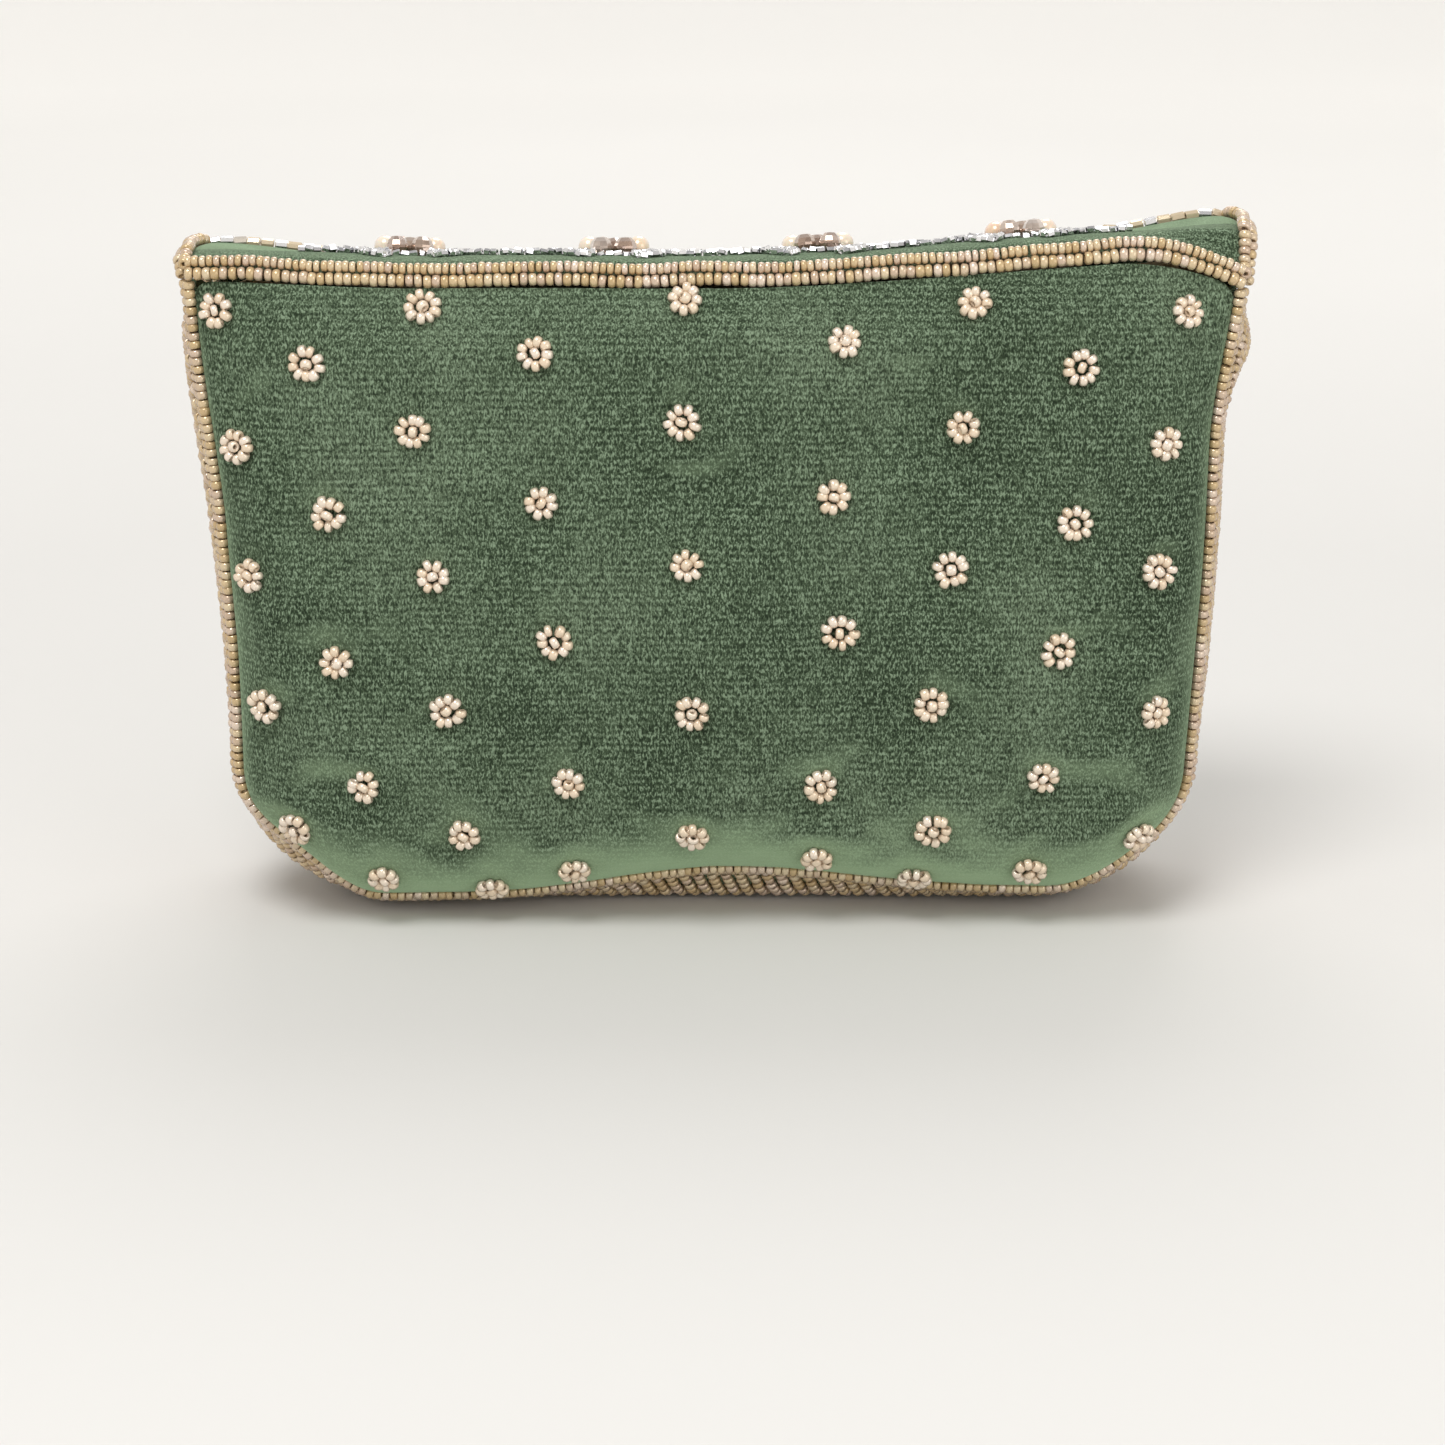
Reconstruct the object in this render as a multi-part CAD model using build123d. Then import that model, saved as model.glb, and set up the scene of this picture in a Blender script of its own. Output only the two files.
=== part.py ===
"""Velvet evening clutch with bead trim: a padded back and front, a beaded gusset between them, a satin
lining with a slip pocket, and a stiffened flap that folds over the mouth and closes with a magnetic snap.

Millimetres, +Z up. The origin is on the floor under the middle of the gusset. The plain back faces -Y
and the embroidered flap faces +Y. Bead strings are plain tubes here, and a bead flower is one low disc.
"""

from build123d import *
import math
import os

os.makedirs("parts", exist_ok=True)

# ---- driving dimensions -------------------------------------------------------------------------------
TOP_WIDTH = 176.0  # between the side seams at the mouth
FOOT_WIDTH = 166.0  # the same at the foot, before the corners are rounded
BODY_TOP = 113.0  # top edge of the back panel
MOUTH_TOP = 111.5  # top edge of the front panel and of the gusset
CORNER_RADIUS = 26.0  # the two lower corners
TOP_CORNER_RADIUS = 3.0
GUSSET_WIDTH = 34.0  # between the back and front seams
PANEL_DEPTH = 5.0  # how far each padded panel stands out from its seam
PANEL_ROUND = 4.5

BEAD_DIAMETER = 2.2  # one seed bead, and so the thickness of every bead string
FLOWER_DIAMETER = 6.4  # eight beads round a ninth
GAP = 0.05  # between sewn layers, so that no two solids overlap

VELVET = 1.2
FOAM = 2.1
BOARD = 1.4
SATIN = 0.5
LINING_INSET = 2.6  # how far the lining's back and front stay inside the velvet's rim
BEADED_HALF = 14.6  # half the width of the gusset's slanting bead rows
BEADED_SHORT = 7.0  # how far below the mouth they stop
POCKET_WIDTH, POCKET_HEIGHT, POCKET_FOOT, POCKET_CORNER = 104.0, 62.0, 24.0, 9.0

FLAP_DROP = 72.0  # how far the flap hangs down the front
FLAP_INSIDE = 25.0  # the flap's inner face, in front of the front panel
FLAP_DEPTH = 5.0
FLAP_RADIUS = 30.0
FLAP_ROUND = 3.2
FLAP_OVERHANG = 1.5  # how much further out than the body the flap's sides are
FLAP_BOARD = 1.2
FLAP_FOAM = 1.4
FLAP_STRINGS = (27.0, 29.6)  # distance of its two edge strings in front of the middle
STRIP_DEPTH = 2.9  # of the flap's top strip, from lining to velvet
RIDGE_STRING = 19.5
HINGE_STRINGS = ((-18.2, 1.2), (-17.3, 3.3))  # y, and height over the back panel

SNAP_HEIGHT = 52.0
SNAP_RADIUS = 7.0
STUD_RADIUS = 2.4
SOCKET_BORE_RADIUS = 3.6
CUP_DEPTH, CUP_WALL = 1.9, 0.4
STUD_PLATE = 0.85
WASHER = 0.4
LEG_OFFSET = 4.6  # of the snap's bent-over legs, each side of its middle
LEG_WIDTH, LEG_THICKNESS = 2.6, 0.5

FLOWER_COLUMNS = (0.0, 24.0, 43.5, 61.0, 76.0)  # from the middle, alternating from row to row
FLOWER_ROW_PITCH = 11.9
FLOWER_TOP_ROW = BODY_TOP - 1.7
FLOWER_DEPTH = 1.6

PEARL_DIAMETER = 4.0
CRYSTAL_DIAMETER = 4.0
ROSE_RING = 4.2  # from a rose's middle to the stones round it
ROSE_PEARLS = (0, 60, 120, 180)  # degrees round the middle
ROSE_CRYSTALS = (240, 300)
ROSE_STEP = 34.5  # between roses of one row
FRONT_ROWS = ((93.0, (0, 1, 2)), (70.0, (0.5, 1.5)), (51.0, (0, 1)))  # height, places in steps
STRIP_ROSE_Y = 10.5
STRIP_ROSE_STEPS = (0.5, 1.5)
LEAF_LENGTH, LEAF_WIDTH = 9.0, 4.4
LEAF_SLANT = 70  # degrees between a leaf and its vine
SILVER_WIDTH, SILVER_HEIGHT = 1.6, 1.5
VINE_BOW = 4.0

# ---- worked out from those ----------------------------------------------------------------------------
bead_r = BEAD_DIAMETER / 2
seam_y = GUSSET_WIDTH / 2
gusset_flat = 9.0  # half the width of the gusset's flat middle
gusset_bow = 1.4  # how far that middle stands out from the seams
foot_z = gusset_bow + BEAD_DIAMETER  # height of the panels' lower seam above the floor
panel_face_y = seam_y + PANEL_DEPTH
lining_y = 15.7  # inner face of the lining's back and front
strip_under = BODY_TOP + 1.4  # underside of the flap's top strip
strip_top = strip_under + STRIP_DEPTH
strip_back, strip_front = -15.9, 21.2
fold_y, fold_z = 24.5, BODY_TOP + 1.5  # the fold along the front ridge
fold_radius = 3.2
flap_top = fold_z - fold_radius - 0.1
flap_foot = flap_top - FLAP_DROP
flap_face_y = FLAP_INSIDE + FLAP_DEPTH
flap_board_y = FLAP_INSIDE + SATIN + 2 * GAP
flap_washer_y = flap_board_y + FLAP_BOARD + GAP
flap_foam_y = flap_washer_y + WASHER + GAP
socket_washer_y = lining_y + SATIN + 0.3
rose_clear = ROSE_RING + PEARL_DIAMETER / 2 + 0.4  # radius kept free of silver round a rose


def half_width(z):
    """Half the distance between the side seams at height z."""
    share = (z - foot_z) / (BODY_TOP - foot_z)
    return (FOOT_WIDTH + (TOP_WIDTH - FOOT_WIDTH) * share) / 2


# ---- shapes used again and again ----------------------------------------------------------------------
def shield(top, foot, inset, radius, overhang=0.0):
    """A sketch in X and Z: straight top, sloping sides and two round lower corners, pulled in by inset."""
    high, low = top - inset, foot + inset
    wide, narrow = half_width(top) + overhang - inset, half_width(foot) + overhang - inset
    outline = Polygon((-narrow, low), (narrow, low), (wide, high), (-wide, high), align=None)
    outline = fillet(outline.vertices().sort_by(Axis.Y)[:2], radius - inset)
    return fillet(outline.vertices().sort_by(Axis.Y)[-2:], max(TOP_CORNER_RADIUS - inset, 0.3))


def body_shield(inset, top):
    return shield(top, foot_z, inset, CORNER_RADIUS)


def flap_shield(inset):
    return shield(flap_top, flap_foot, inset, FLAP_RADIUS, FLAP_OVERHANG)


def facing(side, y):
    """The upright plane at that distance from the middle, whose extrusions go away from the middle."""
    return Plane(origin=(0, side * y, 0), x_dir=(-side, 0, 0), z_dir=(0, side, 0))


def slab(sketch, side, start, thickness):
    """An upright sheet from start outward, on the back (side -1) or the front (side 1)."""
    return extrude(facing(side, start) * sketch, thickness)


def tray(outer, inner, side, start, depth, wall, rounding):
    """A sheet of velvet turned over its padding: a shallow tray with a rounded rim."""
    shell = slab(outer, side, start, depth)
    rim = shell.faces().sort_by(Axis.Y)[-1 if side > 0 else 0].edges()
    shell = fillet(rim, rounding)
    hollow = slab(inner, side, start, depth - wall)
    rim = hollow.faces().sort_by(Axis.Y)[-1 if side > 0 else 0].edges()
    return shell - fillet(rim, rounding - wall)


def shield_path(top, foot, radius, y, overhang=0.0):
    """The line down one side, along the foot and up the other side."""
    wide, narrow = half_width(top) + overhang, half_width(foot) + overhang
    return FilletPolyline(
        (-wide, y, top), (-narrow, y, foot), (narrow, y, foot), (wide, y, top), radius=radius
    )


def along(path, section):
    """Sweeps a section drawn with X towards -Y and Y outward, away from the middle of the bag."""
    start = Plane(origin=path @ 0, x_dir=(0, -1, 0), z_dir=path % 0)
    return sweep(start * section, path=path)


def gusset_out(y):
    """How far the gusset's outer face stands out at y."""
    slope = (seam_y - abs(y)) / (seam_y - gusset_flat)
    return gusset_bow * min(1.0, slope)


def gusset_layer(low, high, reach):
    """Section of one layer of the gusset, from low to high above its outer face, reach wide each way."""
    stations = (-reach, -gusset_flat, gusset_flat, reach)
    outside = [(y, gusset_out(y) + high) for y in stations]
    inside = [(y, gusset_out(y) + low) for y in reversed(stations)]
    return Polygon(*outside, *inside, align=None)


def bead_section(y, out):
    return Pos(-y, out) * Circle(bead_r)


def straight_beads(start, end):
    """A straight string of beads, as one tube."""
    line = Line(start, end)
    return sweep(Plane(origin=start, z_dir=line % 0) * Circle(bead_r), path=line)


def prongs(start, end, clearance=0.0):
    """The two bent-over legs that hold one half of the snap, or the room for them."""
    length, thickness = end - start, LEG_THICKNESS + 2 * clearance
    leg = Box(thickness, length, LEG_WIDTH + 2 * clearance)
    middle = (start + end) / 2
    return Part() + [Pos(x, middle, SNAP_HEIGHT) * leg for x in (-LEG_OFFSET, LEG_OFFSET)]


def slots(start, end):
    return prongs(start, end, 0.2)


def disc(radius, start, thickness):
    """A round plate on the snap's axis, from start forward."""
    return extrude(facing(1, start) * Pos(0, SNAP_HEIGHT) * Circle(radius), thickness)


# ---- body: padded back and front ----------------------------------------------------------------------
def padded_panel(side, top):
    """The velvet, the foam and the board of one panel, from the outside in."""
    velvet = tray(
        body_shield(0, top),
        body_shield(VELVET, top),
        side,
        seam_y,
        PANEL_DEPTH,
        VELVET,
        PANEL_ROUND,
    )
    board_start = seam_y + GAP
    foam_start = board_start + BOARD + GAP
    board = slab(body_shield(VELVET + 2.0, top), side, board_start, BOARD)
    foam = slab(body_shield(VELVET + 3.4, top), side, foam_start, FOAM)
    return velvet, foam, board


def body_linings():
    """The satin back and front of the lining, and the strip of satin between them."""
    inset = VELVET + LINING_INSET
    back = slab(body_shield(inset, MOUTH_TOP), -1, lining_y, SATIN)
    front = slab(body_shield(inset, MOUTH_TOP), 1, lining_y, SATIN)
    path = shield_path(MOUTH_TOP - 1.0, foot_z, CORNER_RADIUS, 0)
    strip = along(path, gusset_layer(-3.3, -2.8, lining_y - GAP))
    return back, front, strip


def slip_pocket():
    """A satin patch sewn flat on the back lining by its sides and foot."""
    patch = Rectangle(POCKET_WIDTH, POCKET_HEIGHT)
    patch = fillet(patch.vertices().sort_by(Axis.Y)[:2], POCKET_CORNER)
    middle = POCKET_FOOT + POCKET_HEIGHT / 2
    return slab(Pos(0, middle) * patch, -1, lining_y - SATIN - GAP, SATIN)


def gusset_velvet():
    path = shield_path(MOUTH_TOP, foot_z, CORNER_RADIUS, 0)
    return along(path, gusset_layer(-VELVET, 0, seam_y - GAP))


def base_board():
    """The stiffener that keeps the foot of the gusset flat."""
    length = FOOT_WIDTH - 2 * CORNER_RADIUS
    top = foot_z - gusset_bow + VELVET
    return Pos(0, 0, top + GAP + BOARD / 2) * Box(length, 2 * gusset_flat, BOARD)


def gusset_beadwork():
    """The slanting bead rows that cover the gusset: left side, foot with both corners, right side."""
    section = gusset_layer(GAP, BEAD_DIAMETER, BEADED_HALF)
    whole = along(shield_path(MOUTH_TOP - BEADED_SHORT, foot_z, CORNER_RADIUS, 0), section)
    split = foot_z + CORNER_RADIUS + 2.0
    high = Pos(0, 0, split + 100) * Box(400, 100, 200)
    low = Pos(0, 0, split - GAP - 100) * Box(400, 100, 200)
    sides = (whole & high).solids().sort_by(Axis.X)
    return sides[0], whole & low, sides[1]


def edge_strings(side):
    """The string along a panel's rim, and the one beside it at the gusset's edge."""
    path = shield_path(MOUTH_TOP, foot_z, CORNER_RADIUS, 0)
    rim = along(path, bead_section(side * (seam_y + bead_r + GAP), bead_r + GAP))
    inner_y = seam_y - bead_r - GAP
    out = gusset_out(inner_y - bead_r) + bead_r + 0.06
    return rim, along(path, bead_section(side * inner_y, out))


# ---- bead flowers -------------------------------------------------------------------------------------

def flower_places(lowest, highest):
    """Where the flowers are, on a lattice whose rows alternate: even columns, then odd ones."""
    places = []
    row, z = 0, FLOWER_TOP_ROW
    while z > lowest:
        for column in FLOWER_COLUMNS[row % 2 :: 2]:
            if z < highest:
                places += [(x, z) for x in sorted({-column, column})]
        row += 1
        z -= FLOWER_ROW_PITCH
    return places


def on_flat(x, z):
    """True where a whole flower fits on the panel's flat middle."""
    margin = PANEL_ROUND + FLOWER_DIAMETER / 2
    if abs(x) > half_width(z) - margin:
        return False
    corner_x, corner_z = half_width(foot_z) - CORNER_RADIUS, foot_z + CORNER_RADIUS
    if abs(x) > corner_x and z < corner_z:
        return math.hypot(abs(x) - corner_x, z - corner_z) < CORNER_RADIUS - margin
    return foot_z + margin < z < BODY_TOP - margin


def bead_flowers(side, lowest, highest):
    radius = FLOWER_DIAMETER / 2
    low_disc = extrude(Circle(radius), FLOWER_DEPTH)
    low_disc = fillet(low_disc.edges().sort_by(Axis.Z)[-1], 0.7)
    places = [(x, z) for x, z in flower_places(lowest, highest) if on_flat(x, z)]
    plane = facing(side, panel_face_y + GAP)
    return Compound(children=[plane * Pos(-side * x, z) * low_disc for x, z in places])


# ---- flap ---------------------------------------------------------------------------------------------
def strip_sheet(low, high, inset):
    """One level sheet of the flap's top strip."""
    length = strip_front - strip_back - 2 * inset
    width = 2 * (half_width(BODY_TOP) + FLAP_OVERHANG - inset)
    middle = (strip_front + strip_back) / 2
    return Pos(0, middle, (low + high) / 2) * Box(width, length, high - low)


def flap_strip():
    """Velvet, interlining and lining of the strip over the mouth."""
    lining = strip_sheet(strip_under, strip_under + SATIN, 0.4)
    filling = strip_sheet(strip_under + SATIN + GAP, strip_top - VELVET - GAP, 1.6)
    velvet = strip_sheet(strip_under + SATIN + GAP, strip_top, 0)
    velvet -= strip_sheet(strip_under, strip_top - VELVET, 1.3)
    long_edges = velvet.faces().sort_by(Axis.Z)[-1].edges()
    return fillet(long_edges, 0.8), filling, lining


def flap_fold():
    """The rolled fold of velvet at the ridge, which the flap's front turns about."""
    width = 2 * (half_width(BODY_TOP) + FLAP_OVERHANG)
    roll = Cylinder(fold_radius, width) - Cylinder(fold_radius - VELVET, width)
    return Pos(0, fold_y, fold_z) * Rot(0, 90, 0) * roll


def strip_side_strings():
    """Two strings down each side of the strip."""
    beside = half_width(BODY_TOP) + FLAP_OVERHANG + bead_r + GAP
    strings = []
    for x, z in ((beside, strip_top - bead_r), (beside - BEAD_DIAMETER, strip_top + bead_r + GAP)):
        strings += [
            straight_beads((s * x, strip_back, z), (s * x, strip_front - 3.0, z)) for s in (-1, 1)
        ]
    return Compound(children=strings)


def cross_string(y, z, width):
    return straight_beads((-width, y, z), (width, y, z))


def flap_front():
    """Velvet, foam, board and lining of the flap's front, from the outside in."""
    velvet_start = FLAP_INSIDE + SATIN + GAP
    velvet_depth = FLAP_DEPTH - SATIN - GAP
    outer, inner = flap_shield(0), flap_shield(VELVET)
    velvet = tray(outer, inner, 1, velvet_start, velvet_depth, VELVET, FLAP_ROUND)
    foam = slab(flap_shield(VELVET + 2.4), 1, flap_foam_y, FLAP_FOAM)
    board = slab(flap_shield(VELVET + 0.4), 1, flap_board_y, FLAP_BOARD)
    lining = slab(flap_shield(0.6), 1, FLAP_INSIDE, SATIN)
    leg_room = slots(FLAP_INSIDE - GAP, flap_foam_y)
    return velvet, foam, board - leg_room, lining - leg_room


def flap_edge_strings():
    """The two strings round the flap's sides and foot: one beside its rim, one on its rounding."""
    path = shield_path(flap_top - 1.0, flap_foot, FLAP_RADIUS, 0, FLAP_OVERHANG)
    near, far = FLAP_STRINGS
    return along(path, bead_section(near, bead_r + GAP)), along(path, bead_section(far, bead_r - 0.1))


# ---- flap embroidery ----------------------------------------------------------------------------------

def both_sides(steps):
    return sorted({sign * step * ROSE_STEP for step in steps for sign in (-1, 1)})


def front_roses():
    return [(x, z) for z, steps in FRONT_ROWS for x in both_sides(steps)]


def strip_roses():
    return [(x, STRIP_ROSE_Y) for x in both_sides(STRIP_ROSE_STEPS)]


def front_vines():
    """Pairs of roses, one row apart and half a step aside, that a vine joins."""
    vines = []
    for (high, high_steps), (low, low_steps) in zip(FRONT_ROWS, FRONT_ROWS[1:]):
        for x in both_sides(high_steps):
            for other in both_sides(low_steps):
                if abs(abs(x - other) - ROSE_STEP / 2) < 0.1:
                    vines.append(((x, high), (other, low)))
    return vines


def strip_vines():
    """On the strip, a vine leaves each side of each rose for the seam behind it."""
    return [
        ((x, y), (x + sign * ROSE_STEP * 0.55, y - 17.0))
        for x, y in strip_roses()
        for sign in (-1, 1)
    ]


def vine_band(start, end):
    """A bowed band from rose to rose, bowing towards the middle of the bag."""
    (x0, y0), (x1, y1) = start, end
    length = math.hypot(x1 - x0, y1 - y0)
    across = ((y1 - y0) / length, -(x1 - x0) / length)
    bow = math.copysign(VINE_BOW, x1 - x0)
    rim = SILVER_WIDTH / 2

    def arc(shift):
        shifted = [(x + shift * across[0], y + shift * across[1]) for x, y in (start, end)]
        middle = (x0 + x1) / 2 + (bow + shift) * across[0], (y0 + y1) / 2 + (bow + shift) * across[1]
        return ThreePointArc(shifted[0], middle, shifted[1])

    near, far = arc(-rim), arc(rim)
    return make_face(near + far + Line(near @ 0, far @ 0) + Line(near @ 1, far @ 1))


def leaf_ring(x, y, turn):
    """A leaf outlined in cut beads."""

    def outline(grow):
        tip, bulge = LEAF_LENGTH / 2 + grow, LEAF_WIDTH / 2 + grow
        upper = ThreePointArc((-tip, 0), (0, bulge), (tip, 0))
        lower = ThreePointArc((tip, 0), (0, -bulge), (-tip, 0))
        return make_face(upper + lower)

    rim = SILVER_WIDTH / 2
    return Pos(x, y) * Rot(0, 0, turn) * (outline(rim) - outline(-rim))


def silver_sketch(vines, roses):
    """Every vine with a leaf each side of its middle, cut back from the roses."""
    drawn = Sketch()
    for start, end in vines:
        drawn += vine_band(start, end)
        heading = math.degrees(math.atan2(end[1] - start[1], end[0] - start[0]))
        middle_x, middle_y = (start[0] + end[0]) / 2, (start[1] + end[1]) / 2
        for sign in (-1, 1):
            turn = heading + sign * LEAF_SLANT
            bowed = VINE_BOW if sign * (end[0] - start[0]) < 0 else -VINE_BOW
            away = LEAF_LENGTH / 2 + 1.0 + bowed
            spot_x = middle_x + away * math.cos(math.radians(turn))
            spot_y = middle_y + away * math.sin(math.radians(turn))
            drawn += leaf_ring(spot_x, spot_y, turn)
    for x, y in roses:
        drawn -= Pos(x, y) * Circle(rose_clear)
    return drawn


def ring_places(roses, turns):
    """The spots at those turns round the middle of each rose."""
    angles = [math.radians(turn) for turn in turns]
    return [
        (x + ROSE_RING * math.cos(a), y + ROSE_RING * math.sin(a)) for x, y in roses for a in angles
    ]


def rose_pearls(roses, place):
    """Four pearls round each rose. place turns flat x, y into a location."""
    pearl = Sphere(PEARL_DIAMETER / 2)
    return Compound(children=[place(x, y) * pearl for x, y in ring_places(roses, ROSE_PEARLS)])


def rose_crystals(roses, place):
    """A faceted round in the middle of each rose and two beside it, each drawn as two blunt cones."""
    r = CRYSTAL_DIAMETER / 2
    profile = Polygon((0, -r), (r * 0.5, -r), (r, 0), (r * 0.5, r), (0, r), align=None)
    gem = revolve(Plane.XZ * profile, Axis.Z)
    spots = list(roses) + ring_places(roses, ROSE_CRYSTALS)
    return Compound(children=[place(x, y) * gem for x, y in spots])


def on_flap_front(x, z):
    lift = CRYSTAL_DIAMETER / 2 + GAP
    return Pos(x, flap_face_y + lift, z) * Rot(-90, 0, 0)


def on_flap_strip(x, y):
    return Pos(x, y, strip_top + CRYSTAL_DIAMETER / 2 + GAP)


def front_silver():
    """The flap front's silver beadwork, kept inside the flat part of its face."""
    mirrored = [((-x0, z0), (-x1, z1)) for (x0, z0), (x1, z1) in front_vines()]
    sketch = silver_sketch(mirrored, [(-x, z) for x, z in front_roses()])
    sketch &= flap_shield(4.0)
    return extrude(facing(1, flap_face_y + GAP) * sketch, SILVER_HEIGHT)


def strip_silver():
    """The strip's silver beadwork, kept between its back edge and the ridge string."""
    sketch = silver_sketch(strip_vines(), strip_roses())
    low, high = strip_back + 1.0, RIDGE_STRING - bead_r - 0.8
    keep = Rectangle(2 * half_width(BODY_TOP) - 6.0, high - low)
    sketch &= Pos(0, (low + high) / 2) * keep
    return extrude(Pos(0, 0, strip_top + GAP) * sketch, SILVER_HEIGHT)


# ---- magnetic snap ------------------------------------------------------------------------------------
def snap_socket():
    """Cup of the half on the front panel, with its two legs."""
    start = panel_face_y + GAP
    hollow = disc(SNAP_RADIUS - CUP_WALL, start + CUP_WALL, CUP_DEPTH)
    cup = disc(SNAP_RADIUS, start, CUP_DEPTH) - hollow - disc(SOCKET_BORE_RADIUS, start, CUP_DEPTH)
    return cup + prongs(socket_washer_y, start + CUP_WALL / 2)


def snap_magnet():
    """The ring magnet in that cup."""
    start, thickness = panel_face_y + GAP + CUP_WALL + GAP, CUP_DEPTH - CUP_WALL - 2 * GAP
    ring = disc(SNAP_RADIUS - CUP_WALL - GAP, start, thickness)
    return ring - disc(SOCKET_BORE_RADIUS, start, thickness)


def snap_washer(start):
    """A washer behind the layers, with the two slots that the legs pass through."""
    return disc(SNAP_RADIUS - 1.0, start, WASHER) - slots(start - GAP, start + WASHER + GAP)


def snap_stud():
    """Plate, stud and legs of the half on the flap. The stud's nose stops short of the cup's floor."""
    plate_y, nose_y = FLAP_INSIDE - GAP - STUD_PLATE, panel_face_y + 0.7
    stud = disc(STUD_RADIUS, nose_y, plate_y - nose_y + STUD_PLATE / 2)
    stud = fillet(stud.faces().sort_by(Axis.Y)[0].edges(), 0.5)
    legs = prongs(FLAP_INSIDE - 2 * GAP, flap_washer_y + WASHER - GAP)
    return disc(SNAP_RADIUS, plate_y, STUD_PLATE) + stud + legs


# ---- write --------------------------------------------------------------------------------------------
def write(name, shape):
    if len(shape.solids()) == 1:
        shape = shape.solids()[0]
    shape.label = name
    export_step(shape, f"parts/{name}.step")


def body_nodes():
    back_velvet, back_foam, back_board = padded_panel(-1, BODY_TOP)
    leg_room = slots(lining_y, panel_face_y + GAP)
    front_velvet, front_foam, front_board = [p - leg_room for p in padded_panel(1, MOUTH_TOP)]
    lining_back, lining_front, lining_gusset = body_linings()
    beads_left, beads_foot, beads_right = gusset_beadwork()
    back_rim, back_inner = edge_strings(-1)
    front_rim, front_inner = edge_strings(1)
    hinge_half = half_width(BODY_TOP) + 1.0
    (lower_y, lower_rise), (upper_y, upper_rise) = HINGE_STRINGS
    return {
        "back_velvet": back_velvet,
        "back_foam": back_foam,
        "back_board": back_board,
        "front_velvet": front_velvet,
        "front_foam": front_foam,
        "front_board": front_board,
        "gusset_velvet": gusset_velvet(),
        "base_board": base_board(),
        "lining_back": lining_back,
        "lining_front": lining_front,
        "lining_gusset": lining_gusset,
        "slip_pocket": slip_pocket(),
        "gusset_beads_left": beads_left,
        "gusset_beads_foot": beads_foot,
        "gusset_beads_right": beads_right,
        "back_rim_beads": back_rim,
        "back_gusset_beads": back_inner,
        "front_rim_beads": front_rim,
        "front_gusset_beads": front_inner,
        "hinge_beads_lower": cross_string(lower_y, BODY_TOP + lower_rise, hinge_half),
        "hinge_beads_upper": cross_string(upper_y, BODY_TOP + upper_rise, hinge_half),
        "back_bead_flowers": bead_flowers(-1, foot_z, BODY_TOP),
        "front_bead_flowers": bead_flowers(1, foot_z, flap_foot - 2.0),
        "snap_socket": snap_socket(),
        "snap_magnet": snap_magnet(),
        "snap_socket_washer": snap_washer(socket_washer_y),
    }


def flap_nodes():
    strip_velvet, strip_filling, strip_lining = flap_strip()
    velvet, foam, board, lining = flap_front()
    edge_outer, edge_inner = flap_edge_strings()
    strip_half = half_width(BODY_TOP) - 2.0
    return {
        "flap_top_velvet": strip_velvet,
        "flap_top_interlining": strip_filling,
        "flap_top_lining": strip_lining,
        "flap_fold_velvet": flap_fold(),
        "flap_top_side_beads": strip_side_strings(),
        "flap_ridge_beads": cross_string(RIDGE_STRING, strip_top + bead_r + GAP, strip_half),
        "flap_top_pearls": rose_pearls(strip_roses(), on_flap_strip),
        "flap_top_crystals": rose_crystals(strip_roses(), on_flap_strip),
        "flap_top_silverwork": strip_silver(),
        "flap_front_velvet": velvet,
        "flap_front_foam": foam,
        "flap_front_board": board,
        "flap_front_lining": lining,
        "flap_edge_beads_outer": edge_outer,
        "flap_edge_beads_inner": edge_inner,
        "flap_front_pearls": rose_pearls(front_roses(), on_flap_front),
        "flap_front_crystals": rose_crystals(front_roses(), on_flap_front),
        "flap_front_silverwork": front_silver(),
        "snap_stud": snap_stud(),
        "snap_stud_washer": snap_washer(flap_washer_y),
    }


for node, solid in {**body_nodes(), **flap_nodes()}.items():
    write(node, solid)
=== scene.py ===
"""Looks of the velvet evening clutch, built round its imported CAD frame.

Metres, +Z up. The plain back faces -Y and the embroidered flap faces +Y. Every piece is first laid out on
the straight frame, and drape() then gives all of them the same slump, so that they stay together.
"""

import math

import bpy
import numpy as np
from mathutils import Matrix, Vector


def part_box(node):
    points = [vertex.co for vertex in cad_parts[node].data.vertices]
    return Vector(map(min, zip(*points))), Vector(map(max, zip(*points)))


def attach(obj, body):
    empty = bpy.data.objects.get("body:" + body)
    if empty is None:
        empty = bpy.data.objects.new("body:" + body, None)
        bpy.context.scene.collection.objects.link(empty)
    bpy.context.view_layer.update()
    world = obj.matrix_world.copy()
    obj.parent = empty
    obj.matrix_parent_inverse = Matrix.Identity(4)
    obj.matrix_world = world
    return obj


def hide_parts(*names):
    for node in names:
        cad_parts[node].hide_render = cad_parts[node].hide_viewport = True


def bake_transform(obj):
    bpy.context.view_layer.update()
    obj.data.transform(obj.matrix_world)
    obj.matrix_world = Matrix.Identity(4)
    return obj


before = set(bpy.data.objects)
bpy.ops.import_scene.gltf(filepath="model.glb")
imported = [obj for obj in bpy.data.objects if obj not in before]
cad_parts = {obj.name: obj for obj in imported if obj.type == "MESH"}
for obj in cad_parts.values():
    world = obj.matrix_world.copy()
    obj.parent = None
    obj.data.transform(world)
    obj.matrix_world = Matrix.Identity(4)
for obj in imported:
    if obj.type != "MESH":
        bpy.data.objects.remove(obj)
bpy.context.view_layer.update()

# ---- sizes, from the frame and from the cloth ---------------------------------------------------------
back_low, back_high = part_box("back_velvet")
front_low, front_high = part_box("front_velvet")
flap_low, flap_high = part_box("flap_front_velvet")
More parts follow.
